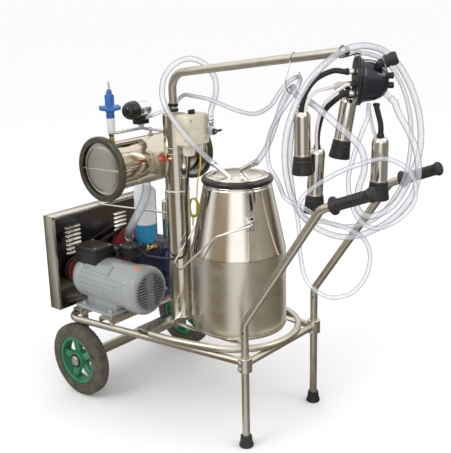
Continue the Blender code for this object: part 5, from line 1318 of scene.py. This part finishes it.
def belt_outline(growth):
    """The belt line round both pulleys, growth outside their groove floors."""
    small, large = (r - GROOVE_DEPTH + growth for r in (MOTOR_PULLEY_R, PUMP_PULLEY_R))
    dy, dz = PUMP_Y - MOTOR_Y, PUMP_Z - MOTOR_Z
    span, lean = hypot(dy, dz), atan2(dz, dy)
    spread = atan2(large - small, sqrt(span ** 2 - (large - small) ** 2))
    outline = []
    for centre, radius, first, last in (
            ((MOTOR_Y, MOTOR_Z), small, pi / 2 + spread, 3 * pi / 2 - spread),
            ((PUMP_Y, PUMP_Z), large, -pi / 2 - spread, pi / 2 + spread)):
        for i in range(49):
            angle = lean + first + (last - first) * i / 48
            outline.append((centre[0] + radius * cos(angle), centre[1] + radius * sin(angle)))
    return outline


def drive_belt():
    """The V belt, wider outside than in."""
    middle = (PULLEY_X0 + PULLEY_X1) / 2
    inner_half = BELT_HALF * BELT_TAPER
    builder = bmesh.new()
    rings = []
    for growth, x in ((BELT_OUT, middle + BELT_HALF), (BELT_IN, middle + inner_half),
                      (BELT_IN, middle - inner_half), (BELT_OUT, middle - BELT_HALF)):
        rings.append([builder.verts.new((x, y, z)) for y, z in belt_outline(growth)])
    for a, b in zip(rings, rings[1:] + rings[:1]):
        for i in range(len(a)):
            j = (i + 1) % len(a)
            builder.faces.new((a[i], a[j], b[j], b[i]))
    part("drive_belt", [solid(builder, "rubber")])


def pump():
    """The ribbed pump barrel with bolted end covers, pedestal, foot bolts and inlet."""
    length, base, r = PUMP_FRONT_X - PUMP_REAR_X, DECK_Z + GAP, PUMP_R
    axis = vec(PUMP_REAR_X, PUMP_Y, PUMP_Z)
    profile = [(0, length - 0.004), (0.020, length - 0.004), (0.024, length), (r - 0.022, length),
               (r - 0.006, length - 0.006), (r, length - 0.014), (r, length - 0.030),
               (r - 0.005, length - 0.032)]
    for i in range(8):
        h = length - 0.045 - i * 0.014
        profile += [(r - 0.005, h), (r - 0.0018, h - 0.002), (r - 0.0018, h - 0.005),
                    (r - 0.005, h - 0.007)]
    profile += [(r - 0.005, 0.032), (r, 0.030), (r, 0.014), (r - 0.024, 0), (0, 0)]
    solids = [lathe(profile, axis, FORE, "navy", 96),
              slab((-0.698, PUMP_Y - 0.075, base), (-0.530, PUMP_Y + 0.075, base + 0.012), "navy",
                   0.003, 3),
              slab((-0.680, PUMP_Y - 0.045, base + 0.006), (-0.548, PUMP_Y + 0.045, 0.375), "navy",
                   0.004, 3),
              rod(*PUMP_INLET, 0.0170, "navy", 40)]
    for i in range(6):
        angle = 2 * pi * (i + 0.5) / 6
        at = vec(PUMP_FRONT_X - 0.0015, PUMP_Y + 0.040 * cos(angle), PUMP_Z + 0.040 * sin(angle))
        solids += bolt(at, FORE, "zinc", 0.0040, 0.0035)
    for x in (-0.684, -0.544):
        for side in (-1, 1):
            solids += bolt((x, PUMP_Y + side * 0.060, base + 0.012), UP, "zinc", 0.0055, 0.005)
    along = (PUMP_INLET[1] - PUMP_INLET[0]).normalized()
    clip = PUMP_INLET[1] + along * 0.016
    solids.append(band(clip, along, 0.0145, 0.009, "zinc", 0.0012, 48))
    solids.append(slab(clip + vec(0.012, -0.006, -0.004), clip + vec(0.022, 0.002, 0.004), "zinc",
                       0.001, 2))
    part("pump_body", solids)


OILER = vec(-0.585, 0.003, 0.0)


def oiler():
    """The blue cup with its brass neck, nut and side pipe, and a small drain."""
    cup = mm((0, 566), (37.5, 566), (38, 562), (37.2, 556), (36.5, 530), (35, 512), (30, 500),
             (20, 492), (12, 488), (0, 488))
    neck = mm((0, 490.5), (10, 490.5), (10, 482), (7.5, 480), (7.5, 470), (0, 470))
    solids = [lathe(cup, OILER, UP, "cup_blue", 72, False, 0.001),
              lathe(neck, OILER, UP, "brass", 40),
              nut(OILER + vec(0, 0, 0.476), UP, 0.0120, 0.008, "brass"),
              rod((OILER.x, OILER.y - 0.008, 0.470), (OILER.x, 0.0470, 0.470), 0.0078, "brass", 32),
              nut((OILER.x, 0.036, 0.470), FAR, 0.0110, 0.010, "brass"),
              rod((OILER.x + 0.012, OILER.y - 0.010, 0.497), (OILER.x + 0.018, OILER.y - 0.014, 0.480),
                  0.0038, "zinc", 20),
              ring(OILER + vec(0, 0, 0.5665), UP, 0.0370, 0.0014, "cup_blue", 72)]
    part("oiler_base", solids)


def oiler_bottle():
    """The translucent oil bottle that stands in the cup."""
    base = 0.566 + GAP
    bottle = [(0, 0.6970), (0.0260, 0.6970), (0.0320, 0.6950), (0.0355, 0.6900), (0.0368, 0.6820),
              (0.0370, 0.6400), (0.0363, 0.6385), (0.0370, 0.6370), (0.0370, base), (0, base)]
    part("oiler_bottle",
          [lathe(bottle, OILER, UP, "bottle", 72)])


MUFFLER = vec(-0.545, 0.072, 0.0)


def muffler():
    """The upright steel muffler with its bent outlet pipe."""
    profile = mm((0, 642), (14, 642), (18.8, 638), (19.5, 634), (19.5, 512), (18, 504), (12, 500),
                 (12, 484), (0, 484))
    bend = mm((0, 0, 636), (0, 0, 652), (1, -1, 662), (5, -4, 673), (13, -6, 681), (26, -4, 685))
    pipe = smooth_route([MUFFLER + Vector(p) for p in bend], 0.003)
    solids = [lathe(profile, MUFFLER, UP, "post_side", 64),
              sweep(pipe, 0.0065, "chrome", 28),
              ring(MUFFLER + vec(0, 0, 0.642), UP, 0.0070, 0.0015, "zinc", 32),
              nut(MUFFLER + vec(0, 0, 0.488), UP, 0.0150, 0.011, "zinc", 0.0008)]
    part("muffler", solids)


SHEET = 0.0018                         # the guard's thickness
LOUVRES = mm((-169, -105), (59, 117))   # where the two rows of slots start and end
LOUVRE_ROWS, LOUVRE_Z, LOUVRE_STEP, LOUVRE_H = 7, 0.4525, 0.0155, 0.0065


def guard_back():
    """The guard's back plate with its rows of slots, and the lip pressed out over each; the plate is
    darkened with painted reflection and shade.
    """
    inside = GUARD_X0 + SHEET
    # painted reflection and shade: darker sheet with upright streaks
    back = slab((GUARD_X0, GUARD_Y0, GUARD_Z0), (inside, GUARD_Y1, GUARD_Z1), "sheet_painted_reflections", 0)
    slots, lips = [], []
    for y0, y1 in LOUVRES:
        for row in range(LOUVRE_ROWS):
            z = LOUVRE_Z + LOUVRE_STEP * row
            top = z + LOUVRE_H
            slots.append(slab((GUARD_X0 - 0.01, y0, z), (GUARD_X0 + 0.01, y1, top), "sheet", 0))
            lip = [(inside, top), (inside + 0.0055, z - 0.0010), (inside + 0.0065, z - 0.0002),
                   (inside, top + 0.0022)]
            lips.append(prism(lip, y0, y1, "Y", "sheet", 0.0003))
    return [carve(back, slots), *lips]


def guard_edges():
    """The four turned edges, and the narrow lips along the near and the top one."""
    x0, x1, y0, y1, z0, z1 = GUARD_X0, GUARD_X1, GUARD_Y0, GUARD_Y1, GUARD_Z0, GUARD_Z1
    lip = 0.009
    corners = (((x0, y0, z0), (x1, y0 + SHEET, z1)), ((x0, y1 - SHEET, z0), (x1, y1, z1)),
               ((x0, y0, z0), (x1, y1, z0 + SHEET)), ((x0, y0, z1 - SHEET), (x1, y1, z1)),
               ((x1 - SHEET, y0, z0), (x1, y0 + lip, z1)), ((x1 - SHEET, y0, z1 - lip), (x1, y1, z1)))
    return [slab(low, high, "sheet", 0.0006) for low, high in corners]


def belt_guard():
    """The pan behind the pulleys, the stay that ties it to the post, and its two feet."""
    stay = [vec(GUARD_X1 - 0.010, -0.045, GUARD_Z1 + 0.001), vec(-0.4005, -0.070, 0.650)]
    solids = [*guard_back(), *guard_edges(), rod(*stay, 0.0035, "wire", 20),
              ring(stay[0], UP, 0.0062, 0.0018, "wire", 28),
              *bolt(stay[0] + vec(0, 0, 0.001), UP, "zinc", 0.0042, 0.004)]
    for y in (-0.15, 0.15):
        solids.append(slab((-0.806, y - 0.02, GUARD_Z0 - 0.006),
                           (RAIL_REAR_X - TUBE_R - GAP, y + 0.02, GUARD_Z0 + 0.001), "sheet", 0.0010))
    part("belt_guard", solids)


# ---- bucket ---------------------------------------------------------------------------
BUCKET = vec(BUCKET_X, 0, 0)
EAR_OUT = vec(cos(EAR_ANGLE), sin(EAR_ANGLE), 0)
EAR_SIDE = vec(sin(EAR_ANGLE), -cos(EAR_ANGLE), 0)
SEAL_H = 0.018
LID_Z = NECK_Z + SEAL_H + 2 * GAP
SEAM_Z = SHOULDER_Z - 0.003            # where the bucket's lower and upper parts meet
CONE_SLOPE = (BUCKET_R - NECK_R) / (NECK_Z - 0.010 - SHOULDER_Z - 0.006)


def bucket_walls():
    """Satin lower wall, polished cone and rolled rim."""
    b, r, w = BUCKET_BASE, BUCKET_R, WALL
    lower = [(r - 0.0002, SEAM_Z), (r, SHOULDER_Z - 0.006), (r, b + 0.016), (r - 0.0012, b + 0.013),
             (r, b + 0.010), (r - 0.003, b + 0.003), (r - 0.009, b), (0, b), (0, b + w),
             (r - 0.010, b + w), (r - w, b + 0.014), (r - w, SEAM_Z)]
    cone = [(r - 0.0030, SHOULDER_Z + 0.012), (NECK_R + 0.0010, NECK_Z - 0.010),
            (NECK_R - 0.0010, NECK_Z - 0.006)]
    upper = [(r - 0.0002, SEAM_Z), (r, SHOULDER_Z), (r - 0.0010, SHOULDER_Z + 0.005), *cone,
             (NECK_R, NECK_Z), (NECK_R - w, NECK_Z), *((x - w, z) for x, z in reversed(cone)),
             (r - w, SHOULDER_Z), (r - w, SEAM_Z)]
    return [lathe(lower, BUCKET, UP, "bucket_wall", 160, False, 0.0012),
            lathe(upper, BUCKET, UP, "polished", 160, True, 0.0012),
            ring(BUCKET + vec(0, 0, NECK_Z - 0.0016), UP, NECK_R - 0.0004, 0.0016, "polished", 128)]


def bucket_ear(side):
    """One of the riveted plates with the socket that the bail turns in."""
    out = EAR_OUT * side
    ear = BUCKET + vec(0, 0, EAR_Z)
    root = ear + out * (BUCKET_R - CONE_SLOPE * (EAR_Z - SHOULDER_Z) - 0.001)
    lean = axis_matrix(root, (out + vec(0, 0, CONE_SLOPE)).normalized())
    upright = lean.to_3x3().inverted() @ Vector(UP)
    turn = lean @ Matrix.Rotation(atan2(upright.y, upright.x), 4, "Z")
    rivet = mm((0, 2), (2.4, 1.2), (3, 0), (0, 0))
    solids = [slab((-0.026, -0.0135, -0.001), (0.0165, 0.0135, 0.0030), "polished", 0.0022, 3, turn)]
    for x, y in mm((-20, -7), (-20, 7), (11, 0)):
        solids.append(lathe(rivet, turn @ vec(x, y, 0.003), turn.to_3x3() @ Vector(UP), "zinc", 20))
    socket = ear + out * 0.1262
    solids.append(rod(socket, socket + out * 0.0145, 0.0085, "polished", 40, 0.0015))
    return solids


def bucket_body():
    """The bucket's walls with an ear on each side."""
    part("bucket_body", bucket_walls() + bucket_ear(-1) + bucket_ear(1))


def bucket_seal():
    """The rounded rubber ring between rim and lid."""
    z = NECK_Z + GAP
    section = [(0.0905, z + 0.0175), (0.0980, z + SEAL_H), (0.1085, z + 0.0162), (0.1112, z + 0.0128),
               (0.1120, z + 0.0092), (0.1112, z + 0.0050), (0.1082, z + 0.0015), (0.1040, z),
               (0.0905, z), (0.0900, z + 0.0090)]
    part("bucket_seal",
                 [lathe(section, BUCKET, UP, "seal", 160, True, 0.002)])


def bucket_lid():
    """The domed lid with its raised rim, the nipples, their flanges and hose clips."""
    z = LID_Z
    profile = [(0, z + 0.0104), (0.030, z + 0.0100), (0.055, z + 0.0090), (0.070, z + 0.0078),
               (0.075, z + 0.0068), (0.078, z + 0.0050), (0.082, z + 0.0050), (0.085, z + 0.0062),
               (0.092, z + 0.0052), (0.096, z + 0.0042), (0.098, z + 0.0024), (0.098, z), (0.088, z),
               (0.080, z + 0.0018), (0.058, z + 0.0048), (0, z + 0.0070)]
    solids = [lathe(profile, BUCKET, UP, "polished", 160, False, 0.0010)]
    flange = mm((0, 4.5), (9.5, 4.5), (12.5, 1), (12.5, -1), (0, -1))
    for path, radius in ((LEFT_NIPPLE, 0.0075), (RIGHT_NIPPLE, 0.0085)):
        solids.append(lathe(flange, path[0] + vec(0, 0, 0.0005), UP, "polished", 40))
        bend = filleted(path, 0.010, 10)
        solids.append(sweep(bend, radius, "chrome", 32))
        along = (bend[-1] - bend[-2]).normalized()
        solids.append(ring(bend[-1] - along * 0.0030, along, radius, 0.0008, "chrome", 32))
        solids.append(band(bend[-1] + along * 0.010, along, 0.0087, 0.008, "zinc", 0.0012, 48))
    part("bucket_lid", solids, "lid")


def bucket_bail():
    """The wire handle, hanging against the bucket's side, its ends turned into the ears."""
    axis = BUCKET + vec(0, 0, EAR_Z)
    half_way = EAR_SIDE * 0.100 + vec(0, 0, -0.042)
    drop = EAR_SIDE * 0.200 + vec(0, 0, -0.155)
    arms = [[axis + EAR_OUT * side * 0.1410, axis + EAR_OUT * side * 0.156,
             axis + EAR_OUT * side * 0.100 + half_way, axis + EAR_OUT * side * 0.040 + drop]
            for side in (1, -1)]
    bends = [0.006, 0.03, 0.014]
    wire = filleted(arms[0] + arms[1][::-1], bends + bends[::-1], 10)
    part("bucket_bail", [sweep(wire, 0.0030, "wire", 24)], "bail")


# ---- milking cluster ------------------------------------------------------------------
SHUTOFF = ((0.080, CLAW_Z + 0.050, 0.042), (0.112, CLAW_Z + 0.062, 0.048))
CLAW_NIPPLES = (                   # height, toward, radius and material of each
    (0.024, 0.004, 0.0075, "chrome"), (-0.030, 0.012, 0.0075, "chrome"),
    (-0.036, -0.028, 0.0075, "chrome"), (-0.006, 0.0, 0.005, "gloss_black"),
    (-0.006, 0.030, 0.005, "gloss_black"), (-0.010, -0.034, 0.005, "gloss_black"))


def claw_base():
    """The claw's disc with its milk and pulse nipples, and the lug that it hangs by."""
    disc = mm((0, 14), (60, 14), (63.5, 12), (64, 10), (62, 8), (64, 6), (63.5, 2), (60, 0), (0, 0))
    solids = [lathe(disc, cluster(0.014, CLAW_Z), ACROSS, "gloss_black", 96)]
    for height, toward, radius, material in CLAW_NIPPLES:
        at = cluster(0.016, CLAW_Z + height, toward)
        solids.append(rod(at, at - ACROSS * 0.018, radius, material, 32))
        solids.append(rod(at, at - ACROSS * 0.0050, radius + 0.0030, "gloss_black", 32))
    eye = cluster(*CLAW_EYE)
    lug = rod(eye - TOWARD * 0.004, eye + TOWARD * 0.004, 0.0100, "zinc", 40, 0.001)
    solids.append(carve(lug, [rod(eye - TOWARD * 0.01, eye + TOWARD * 0.01, 0.0058, "zinc", 32, 0)]))
    part("claw_base", solids)


def wire_clip():
    """The clip that holds the bowl on: its wire, plate and rivet."""
    clip = [cluster(0.030, CLAW_Z + 0.050, 0.022), cluster(0.056, CLAW_Z + 0.048, 0.026),
            cluster(0.082, CLAW_Z + 0.032, 0.030), cluster(0.094, CLAW_Z + 0.010, 0.026)]
    rivet = mm((0, 4), (3.4, 3.5), (4.5, 1.2), (0, 1.2))
    plate = axis_matrix(cluster(0.070, CLAW_Z + 0.034, 0.028), TOWARD + vec(0, 0, 0.35))
    return [sweep(smooth_route(clip, 0.002), 0.0017, "zinc", 14),
            slab((-0.011, -0.010, -0.001), (0.011, 0.010, 0.0016), "zinc", 0.001, 2, plate),
            lathe(rivet, plate.translation, plate.to_3x3() @ Vector(UP), "chrome", 24)]


def claw_bowl():
    """The smoked bowl with its valve neck, milk outlet, two stub nipples and wire clip."""
    bowl = mm((0, 72), (12, 71.6), (23, 69.8), (33, 65.5), (41, 58), (47, 48), (51, 36), (53.5, 22),
              (55, 8), (57, 4), (57, 0), (0, 0))
    seat, button = (cluster(*p) for p in SHUTOFF)
    along = (button - seat).normalized()
    solids = [lathe(bowl, cluster(0.028 + GAP, CLAW_Z), ACROSS, "bowl", 96, False, 0.001),
              rod(cluster(0.058, CLAW_Z + 0.028, 0.022), seat - along * 0.008, 0.0100, "bowl", 40),
              rod(seat - along * 0.014, seat - along * 0.0005, 0.0115, "gloss_black", 40),
              rod(*(cluster(*p) for p in CLAW_OUTLET), 0.0082, "sleeve", 40)]
    for rise, toward in mm((12, 6), (-12, 10)):
        for first, last, radius, ease in mm((85, 112.5, 6, 1), (98, 112, 8.2, 1.4)):
            solids.append(rod(cluster(first, CLAW_Z + rise, toward), cluster(last, CLAW_Z + rise, toward),
                              radius, "gloss_black", 32, ease))
    part("claw_bowl", solids + wire_clip())


def claw_shutoff():
    """The ribbed rubber button that is pulled to shut the milk off."""
    start, end = (cluster(*p) for p in SHUTOFF)
    along, length = (end - start).normalized(), (end - start).length
    cap = [(0, length), (0.0140, length), (0.0160, length - 0.0025), (0.0165, length - 0.006),
           (0.0165, 0.016), (0.0150, 0.014), (0.0150, 0.011), (0.0165, 0.009), (0.0160, 0.001),
           (0, 0.001)]
    solids = [lathe(cap, start, along, "rubber", 64)]
    for turn in spun(axis_matrix(start, along), 12):
        solids.append(slab((0.0155, -0.0016, 0.018), (0.0172, 0.0016, length - 0.005), "rubber", 0.0007, 2,
                           turn))
    part("claw_shutoff", solids, "shutoff")


CUPS = (mm((-122, 1036, 0), (-120, 918, 0)), mm((-78, 930, -34), (-83, 802, -34)),
        mm((12, 1058, -76), (-6, 944, -74)), mm((83, 965, 10), (82, 847, 10)))
MILK_TUBES = (                     # from the claw to each cup's top
    ((-0.0026, CLAW_Z + 0.024, 0.004), (-0.012, CLAW_Z + 0.024, 0.004), (-0.045, 1.138, 0.002),
     (-0.088, 1.117, 0.002), (-0.115, 1.078, 0.001)),
    ((-0.0026, CLAW_Z - 0.030, 0.012), (-0.012, CLAW_Z - 0.030, 0.012), (-0.038, 1.063, 0.006),
     (-0.064, 1.030, -0.014), (-0.076, 0.980, -0.030)),
    ((-0.0026, CLAW_Z - 0.036, -0.028), (-0.010, CLAW_Z - 0.036, -0.028), (-0.016, 1.086, -0.050),
     (-0.004, 1.092, -0.070), (0.010, 1.080, -0.077)),
    ((0.070, CLAW_Z - 0.058, 0.008), (0.070, CLAW_Z - 0.066, 0.008), (0.082, 1.000, 0.010)),
)
PULSE_TUBES = (                    # from the claw to each shell's shoulder
    ((-0.0026, CLAW_Z - 0.006, 0.0), (-0.012, CLAW_Z - 0.006, 0.0), (-0.050, 1.096, 0.010),
     (-0.088, 1.088, 0.016), (-0.108, 1.066, 0.018)),
    ((-0.0026, CLAW_Z - 0.006, 0.030), (-0.012, CLAW_Z - 0.006, 0.030), (-0.042, 1.084, 0.026),
     (-0.070, 1.045, 0.008), (-0.082, 0.985, -0.010)),
    ((-0.0026, CLAW_Z - 0.010, -0.034), (-0.010, CLAW_Z - 0.010, -0.034), (-0.026, 1.098, -0.056),
     (-0.026, 1.084, -0.076), (-0.014, 1.072, -0.078)),
    ((0.052, CLAW_Z - 0.064, -0.004), (0.052, CLAW_Z - 0.072, -0.004), (0.064, 0.985, 0.004)),
)


def cup_axis(i):
    """A cup's top, its bottom and the way down between them."""
    top, bottom = (cluster(*end) for end in CUPS[i])
    return top, bottom, (bottom - top).normalized()


def cup_shell(i):
    """The steel shell, the nipple on its shoulder and the short pulse tube."""
    top, bottom, down = cup_axis(i)
    length = (bottom - top).length
    shell = [(0.0098, 0), (0.0150, 0), (0.0172, -0.0012), (0.0200, -0.0055), (0.0217, -0.0110),
             (0.0222, -0.0150), (0.0222, -length + 0.004), (0.0226, -length + 0.003), (0.0226, -length),
             (0.0206, -length), (0.0206, -0.014), (0.0160, -0.003), (0.0098, -0.003)]
    route = [cluster(*p) for p in PULSE_TUBES[i]]
    side = route[-1] - top
    nipple = top + (side - down * side.dot(down)).normalized() * 0.0145
    route += [nipple - down * 0.006, nipple + down * 0.0015]
    route = route[:1] + smooth_route(route[1:], 0.003)
    part("cup_shell_" + str(i + 1),
         [lathe(shell, top, -down, "polished", 72, True, 0.0006),
          rod(nipple + down * 0.006, nipple - down * 0.010, 0.0036, "chrome", 24),
          sweep(route, 0.0045, "pink_tube", 24)])


def cup_liner(i):
    """The liner's mouth piece, its short milk tube and the tube's two collars."""
    top, bottom, down = cup_axis(i)
    mouth = [(0, 0.034), (0.0180, 0.034), (0.0180, -GAP), (0.0236, -GAP), (0.0246, -0.0030),
             (0.0250, -0.0120), (0.0262, -0.0140), (0.0258, -0.0180), (0.0270, -0.0300),
             (0.0290, -0.0440), (0.0290, -0.0480), (0.0270, -0.0500), (0.0130, -0.0500),
             (0.0110, -0.0450), (0.0110, 0.0280), (0, 0.028)]
    claw_collar = mm((0, 8), (8.6, 8), (9.2, 6), (9.2, 1), (0, 1))
    shell_collar = mm((0, 12), (8.8, 10), (9.4, 6), (9.4, 0), (0, 0))
    tube = [cluster(*p) for p in MILK_TUBES[i]]
    route = [*tube, top - down * 0.004, top + down * 0.020, bottom - down * 0.031]
    route = route[:1] + smooth_route(route[1:], 0.003)
    part("cup_liner_" + str(i + 1),
         [lathe(mouth, bottom, -down, "rubber", 72), sweep(route, 0.0072, "rubber", 28),
          lathe(claw_collar, tube[0], tube[1] - tube[0], "rubber", 32),
          lathe(shell_collar, top, -down, "rubber", 32)])


# ---- stage ----------------------------------------------------------------------------
LIGHT_BANDS = (              # the studio round the machine, by compass direction
    (0.00, (0.30, 0.26, 0.20)), (0.05, (0.16, 0.12, 0.09)), (0.12, (0.95, 0.93, 0.90)),
    (0.17, (0.34, 0.29, 0.22)), (0.27, (0.34, 0.25, 0.16)), (0.31, (1.25, 1.25, 1.25)),
    (0.39, (1.30, 1.30, 1.30)), (0.43, (0.36, 0.33, 0.28)), (0.50, (0.42, 0.38, 0.30)),
    (0.60, (0.30, 0.26, 0.20)), (0.68, (0.16, 0.11, 0.08)), (0.74, (1.05, 1.03, 1.00)),
    (0.82, (0.45, 0.42, 0.36)), (0.92, (0.20, 0.16, 0.12)))


OVERHEAD = (1.15, 1.15, 1.13)
BACKGROUND_STRENGTH = 1.03
FLOOR_Z, FLOOR_REACH, FLOOR_GLOW = -0.0005, 200.0, 0.62
LAMPS = (                    # name, place, size, power
    ("key", (-0.6, -3.2, 3.4), 2.2, 48), ("fill", (3.0, 1.0, 3.0), 2.0, 24))
LAMPS_AIM = vec(0, 0, 0.5)


def compass(n, vector):
    """The studio's colour in the direction of a vector, and the height of that direction."""
    split = n.add("ShaderNodeSeparateXYZ")
    n.join(vector, split.inputs[0])
    angle = n.add("ShaderNodeMath", operation="ARCTAN2")
    n.join(split.outputs["Y"], angle.inputs[0])
    n.join(split.outputs["X"], angle.inputs[1])
    share = n.add("ShaderNodeMapRange", From_Min=-pi, From_Max=pi)
    n.join(angle.outputs["Value"], share.inputs["Value"])
    return n.colours(share.outputs["Result"], LIGHT_BANDS), split.outputs["Z"]


def world():
    """Even white light, with bands of warm shade that show only in polished metal."""
    studio = bpy.data.worlds.new("studio")
    bpy.context.scene.world = studio
    studio.use_nodes = True
    n = Nodes(studio.node_tree)
    where = n.add("ShaderNodeTexCoord")
    bands, height = compass(n, where.outputs["Generated"])
    overhead = n.add("ShaderNodeMapRange", From_Min=0.14, From_Max=0.42)
    n.join(height, overhead.inputs["Value"])
    sky = n.mixed(overhead.outputs["Result"], bands, OVERHEAD)
    plain = n.tree.nodes["Background"]
    plain.inputs["Color"].default_value = (1.0, 1.0, 1.0, 1.0)
    plain.inputs["Strength"].default_value = BACKGROUND_STRENGTH
    banded = n.add("ShaderNodeBackground")
    n.join(sky, banded.inputs["Color"])
    n.for_reflections(plain.outputs["Background"], banded.outputs["Background"], "World Output")


def floor():
    """A pale floor out to the horizon; polished metal sees it in warmer, darker bands."""
    mesh = bpy.data.meshes.new("floor")
    corners = [(-FLOOR_REACH, -FLOOR_REACH), (FLOOR_REACH, -FLOOR_REACH), (FLOOR_REACH, FLOOR_REACH),
               (-FLOOR_REACH, FLOOR_REACH)]
    mesh.from_pydata([(x, y, FLOOR_Z) for x, y in corners], [], [(0, 1, 2, 3)])
    obj = bpy.data.objects.new("floor", mesh)
    bpy.context.scene.collection.objects.link(obj)
    n = Surface("floor")
    n.set(Base_Color=(0.94, 0.94, 0.94, 1.0), Roughness=0.9, Specular_IOR_Level=0.0)
    where = n.add("ShaderNodeTexCoord")
    bands, _ = compass(n, where.outputs["Object"])
    seen = n.add("ShaderNodeEmission", Strength=FLOOR_GLOW)
    n.join(bands, seen.inputs["Color"])
    n.for_reflections(n.shader.outputs["BSDF"], seen.outputs["Emission"], "Material Output")
    mesh.materials.append(n.material)


def lamp(name, place, size, power):
    """A round soft lamp that faces the machine."""
    data = bpy.data.lights.new(name, "AREA")
    data.shape = "DISK"
    data.size = size
    data.energy = power
    obj = bpy.data.objects.new(name, data)
    bpy.context.scene.collection.objects.link(obj)
    obj.location = place
    obj.rotation_euler = (LAMPS_AIM - Vector(place)).to_track_quat("-Z", "Y").to_euler()


# ---- assembly -------------------------------------------------------------------------
PULLEYS = (                        # node, body, centre, radius, shaft's radius, where it ends
    ("motor_pulley", "motor_rotor", MOTOR_Y, MOTOR_Z, MOTOR_PULLEY_R, 0.012, MOTOR_REAR_X),
    ("pump_pulley", "pump_rotor", PUMP_Y, PUMP_Z, PUMP_PULLEY_R, 0.011, PUMP_REAR_X))


def trolley():
    """The frame with its legs, grips and wheels."""
    for make in (frame_loop, bucket_cradle, motor_channel, axle_carrier):
        make()
    for side, where in ((-1, "near"), (1, "far")):
        for make in (leg, grip, tyre, hub):
            make(side, where)


def machine():
    """Everything that the trolley carries."""
    for make in (post, cable_tie, mast_bar, hooks, tank_shell, tank_cover, tank_seals, regulator,
                 regulator_pin, pulsator_cover, pulsator_body, strap_foot, drain_knob, drain_fitting,
                 switch_box, switch_knob, tap_lever, motor_frame, fan_cover, wiring_boxes):
        make()
    for values in PULLEYS:
        pulley(*values)
    for make in (drive_belt, pump, oiler, oiler_bottle, muffler, belt_guard, bucket_body, bucket_seal,
                 bucket_lid, bucket_bail, claw_base, claw_bowl, claw_shutoff):
        make()
    for i in range(len(CUPS)):
        cup_shell(i)
        cup_liner(i)


def studio():
    """The light, the floor and the lamps round the machine."""
    world()
    floor()
    for values in LAMPS:
        lamp(*values)
    bpy.context.scene.view_settings.view_transform = "Standard"


def build():
    """Everything in the scene, the camera first."""
    camera()
    cords()
    trolley()
    machine()
    studio()


build()
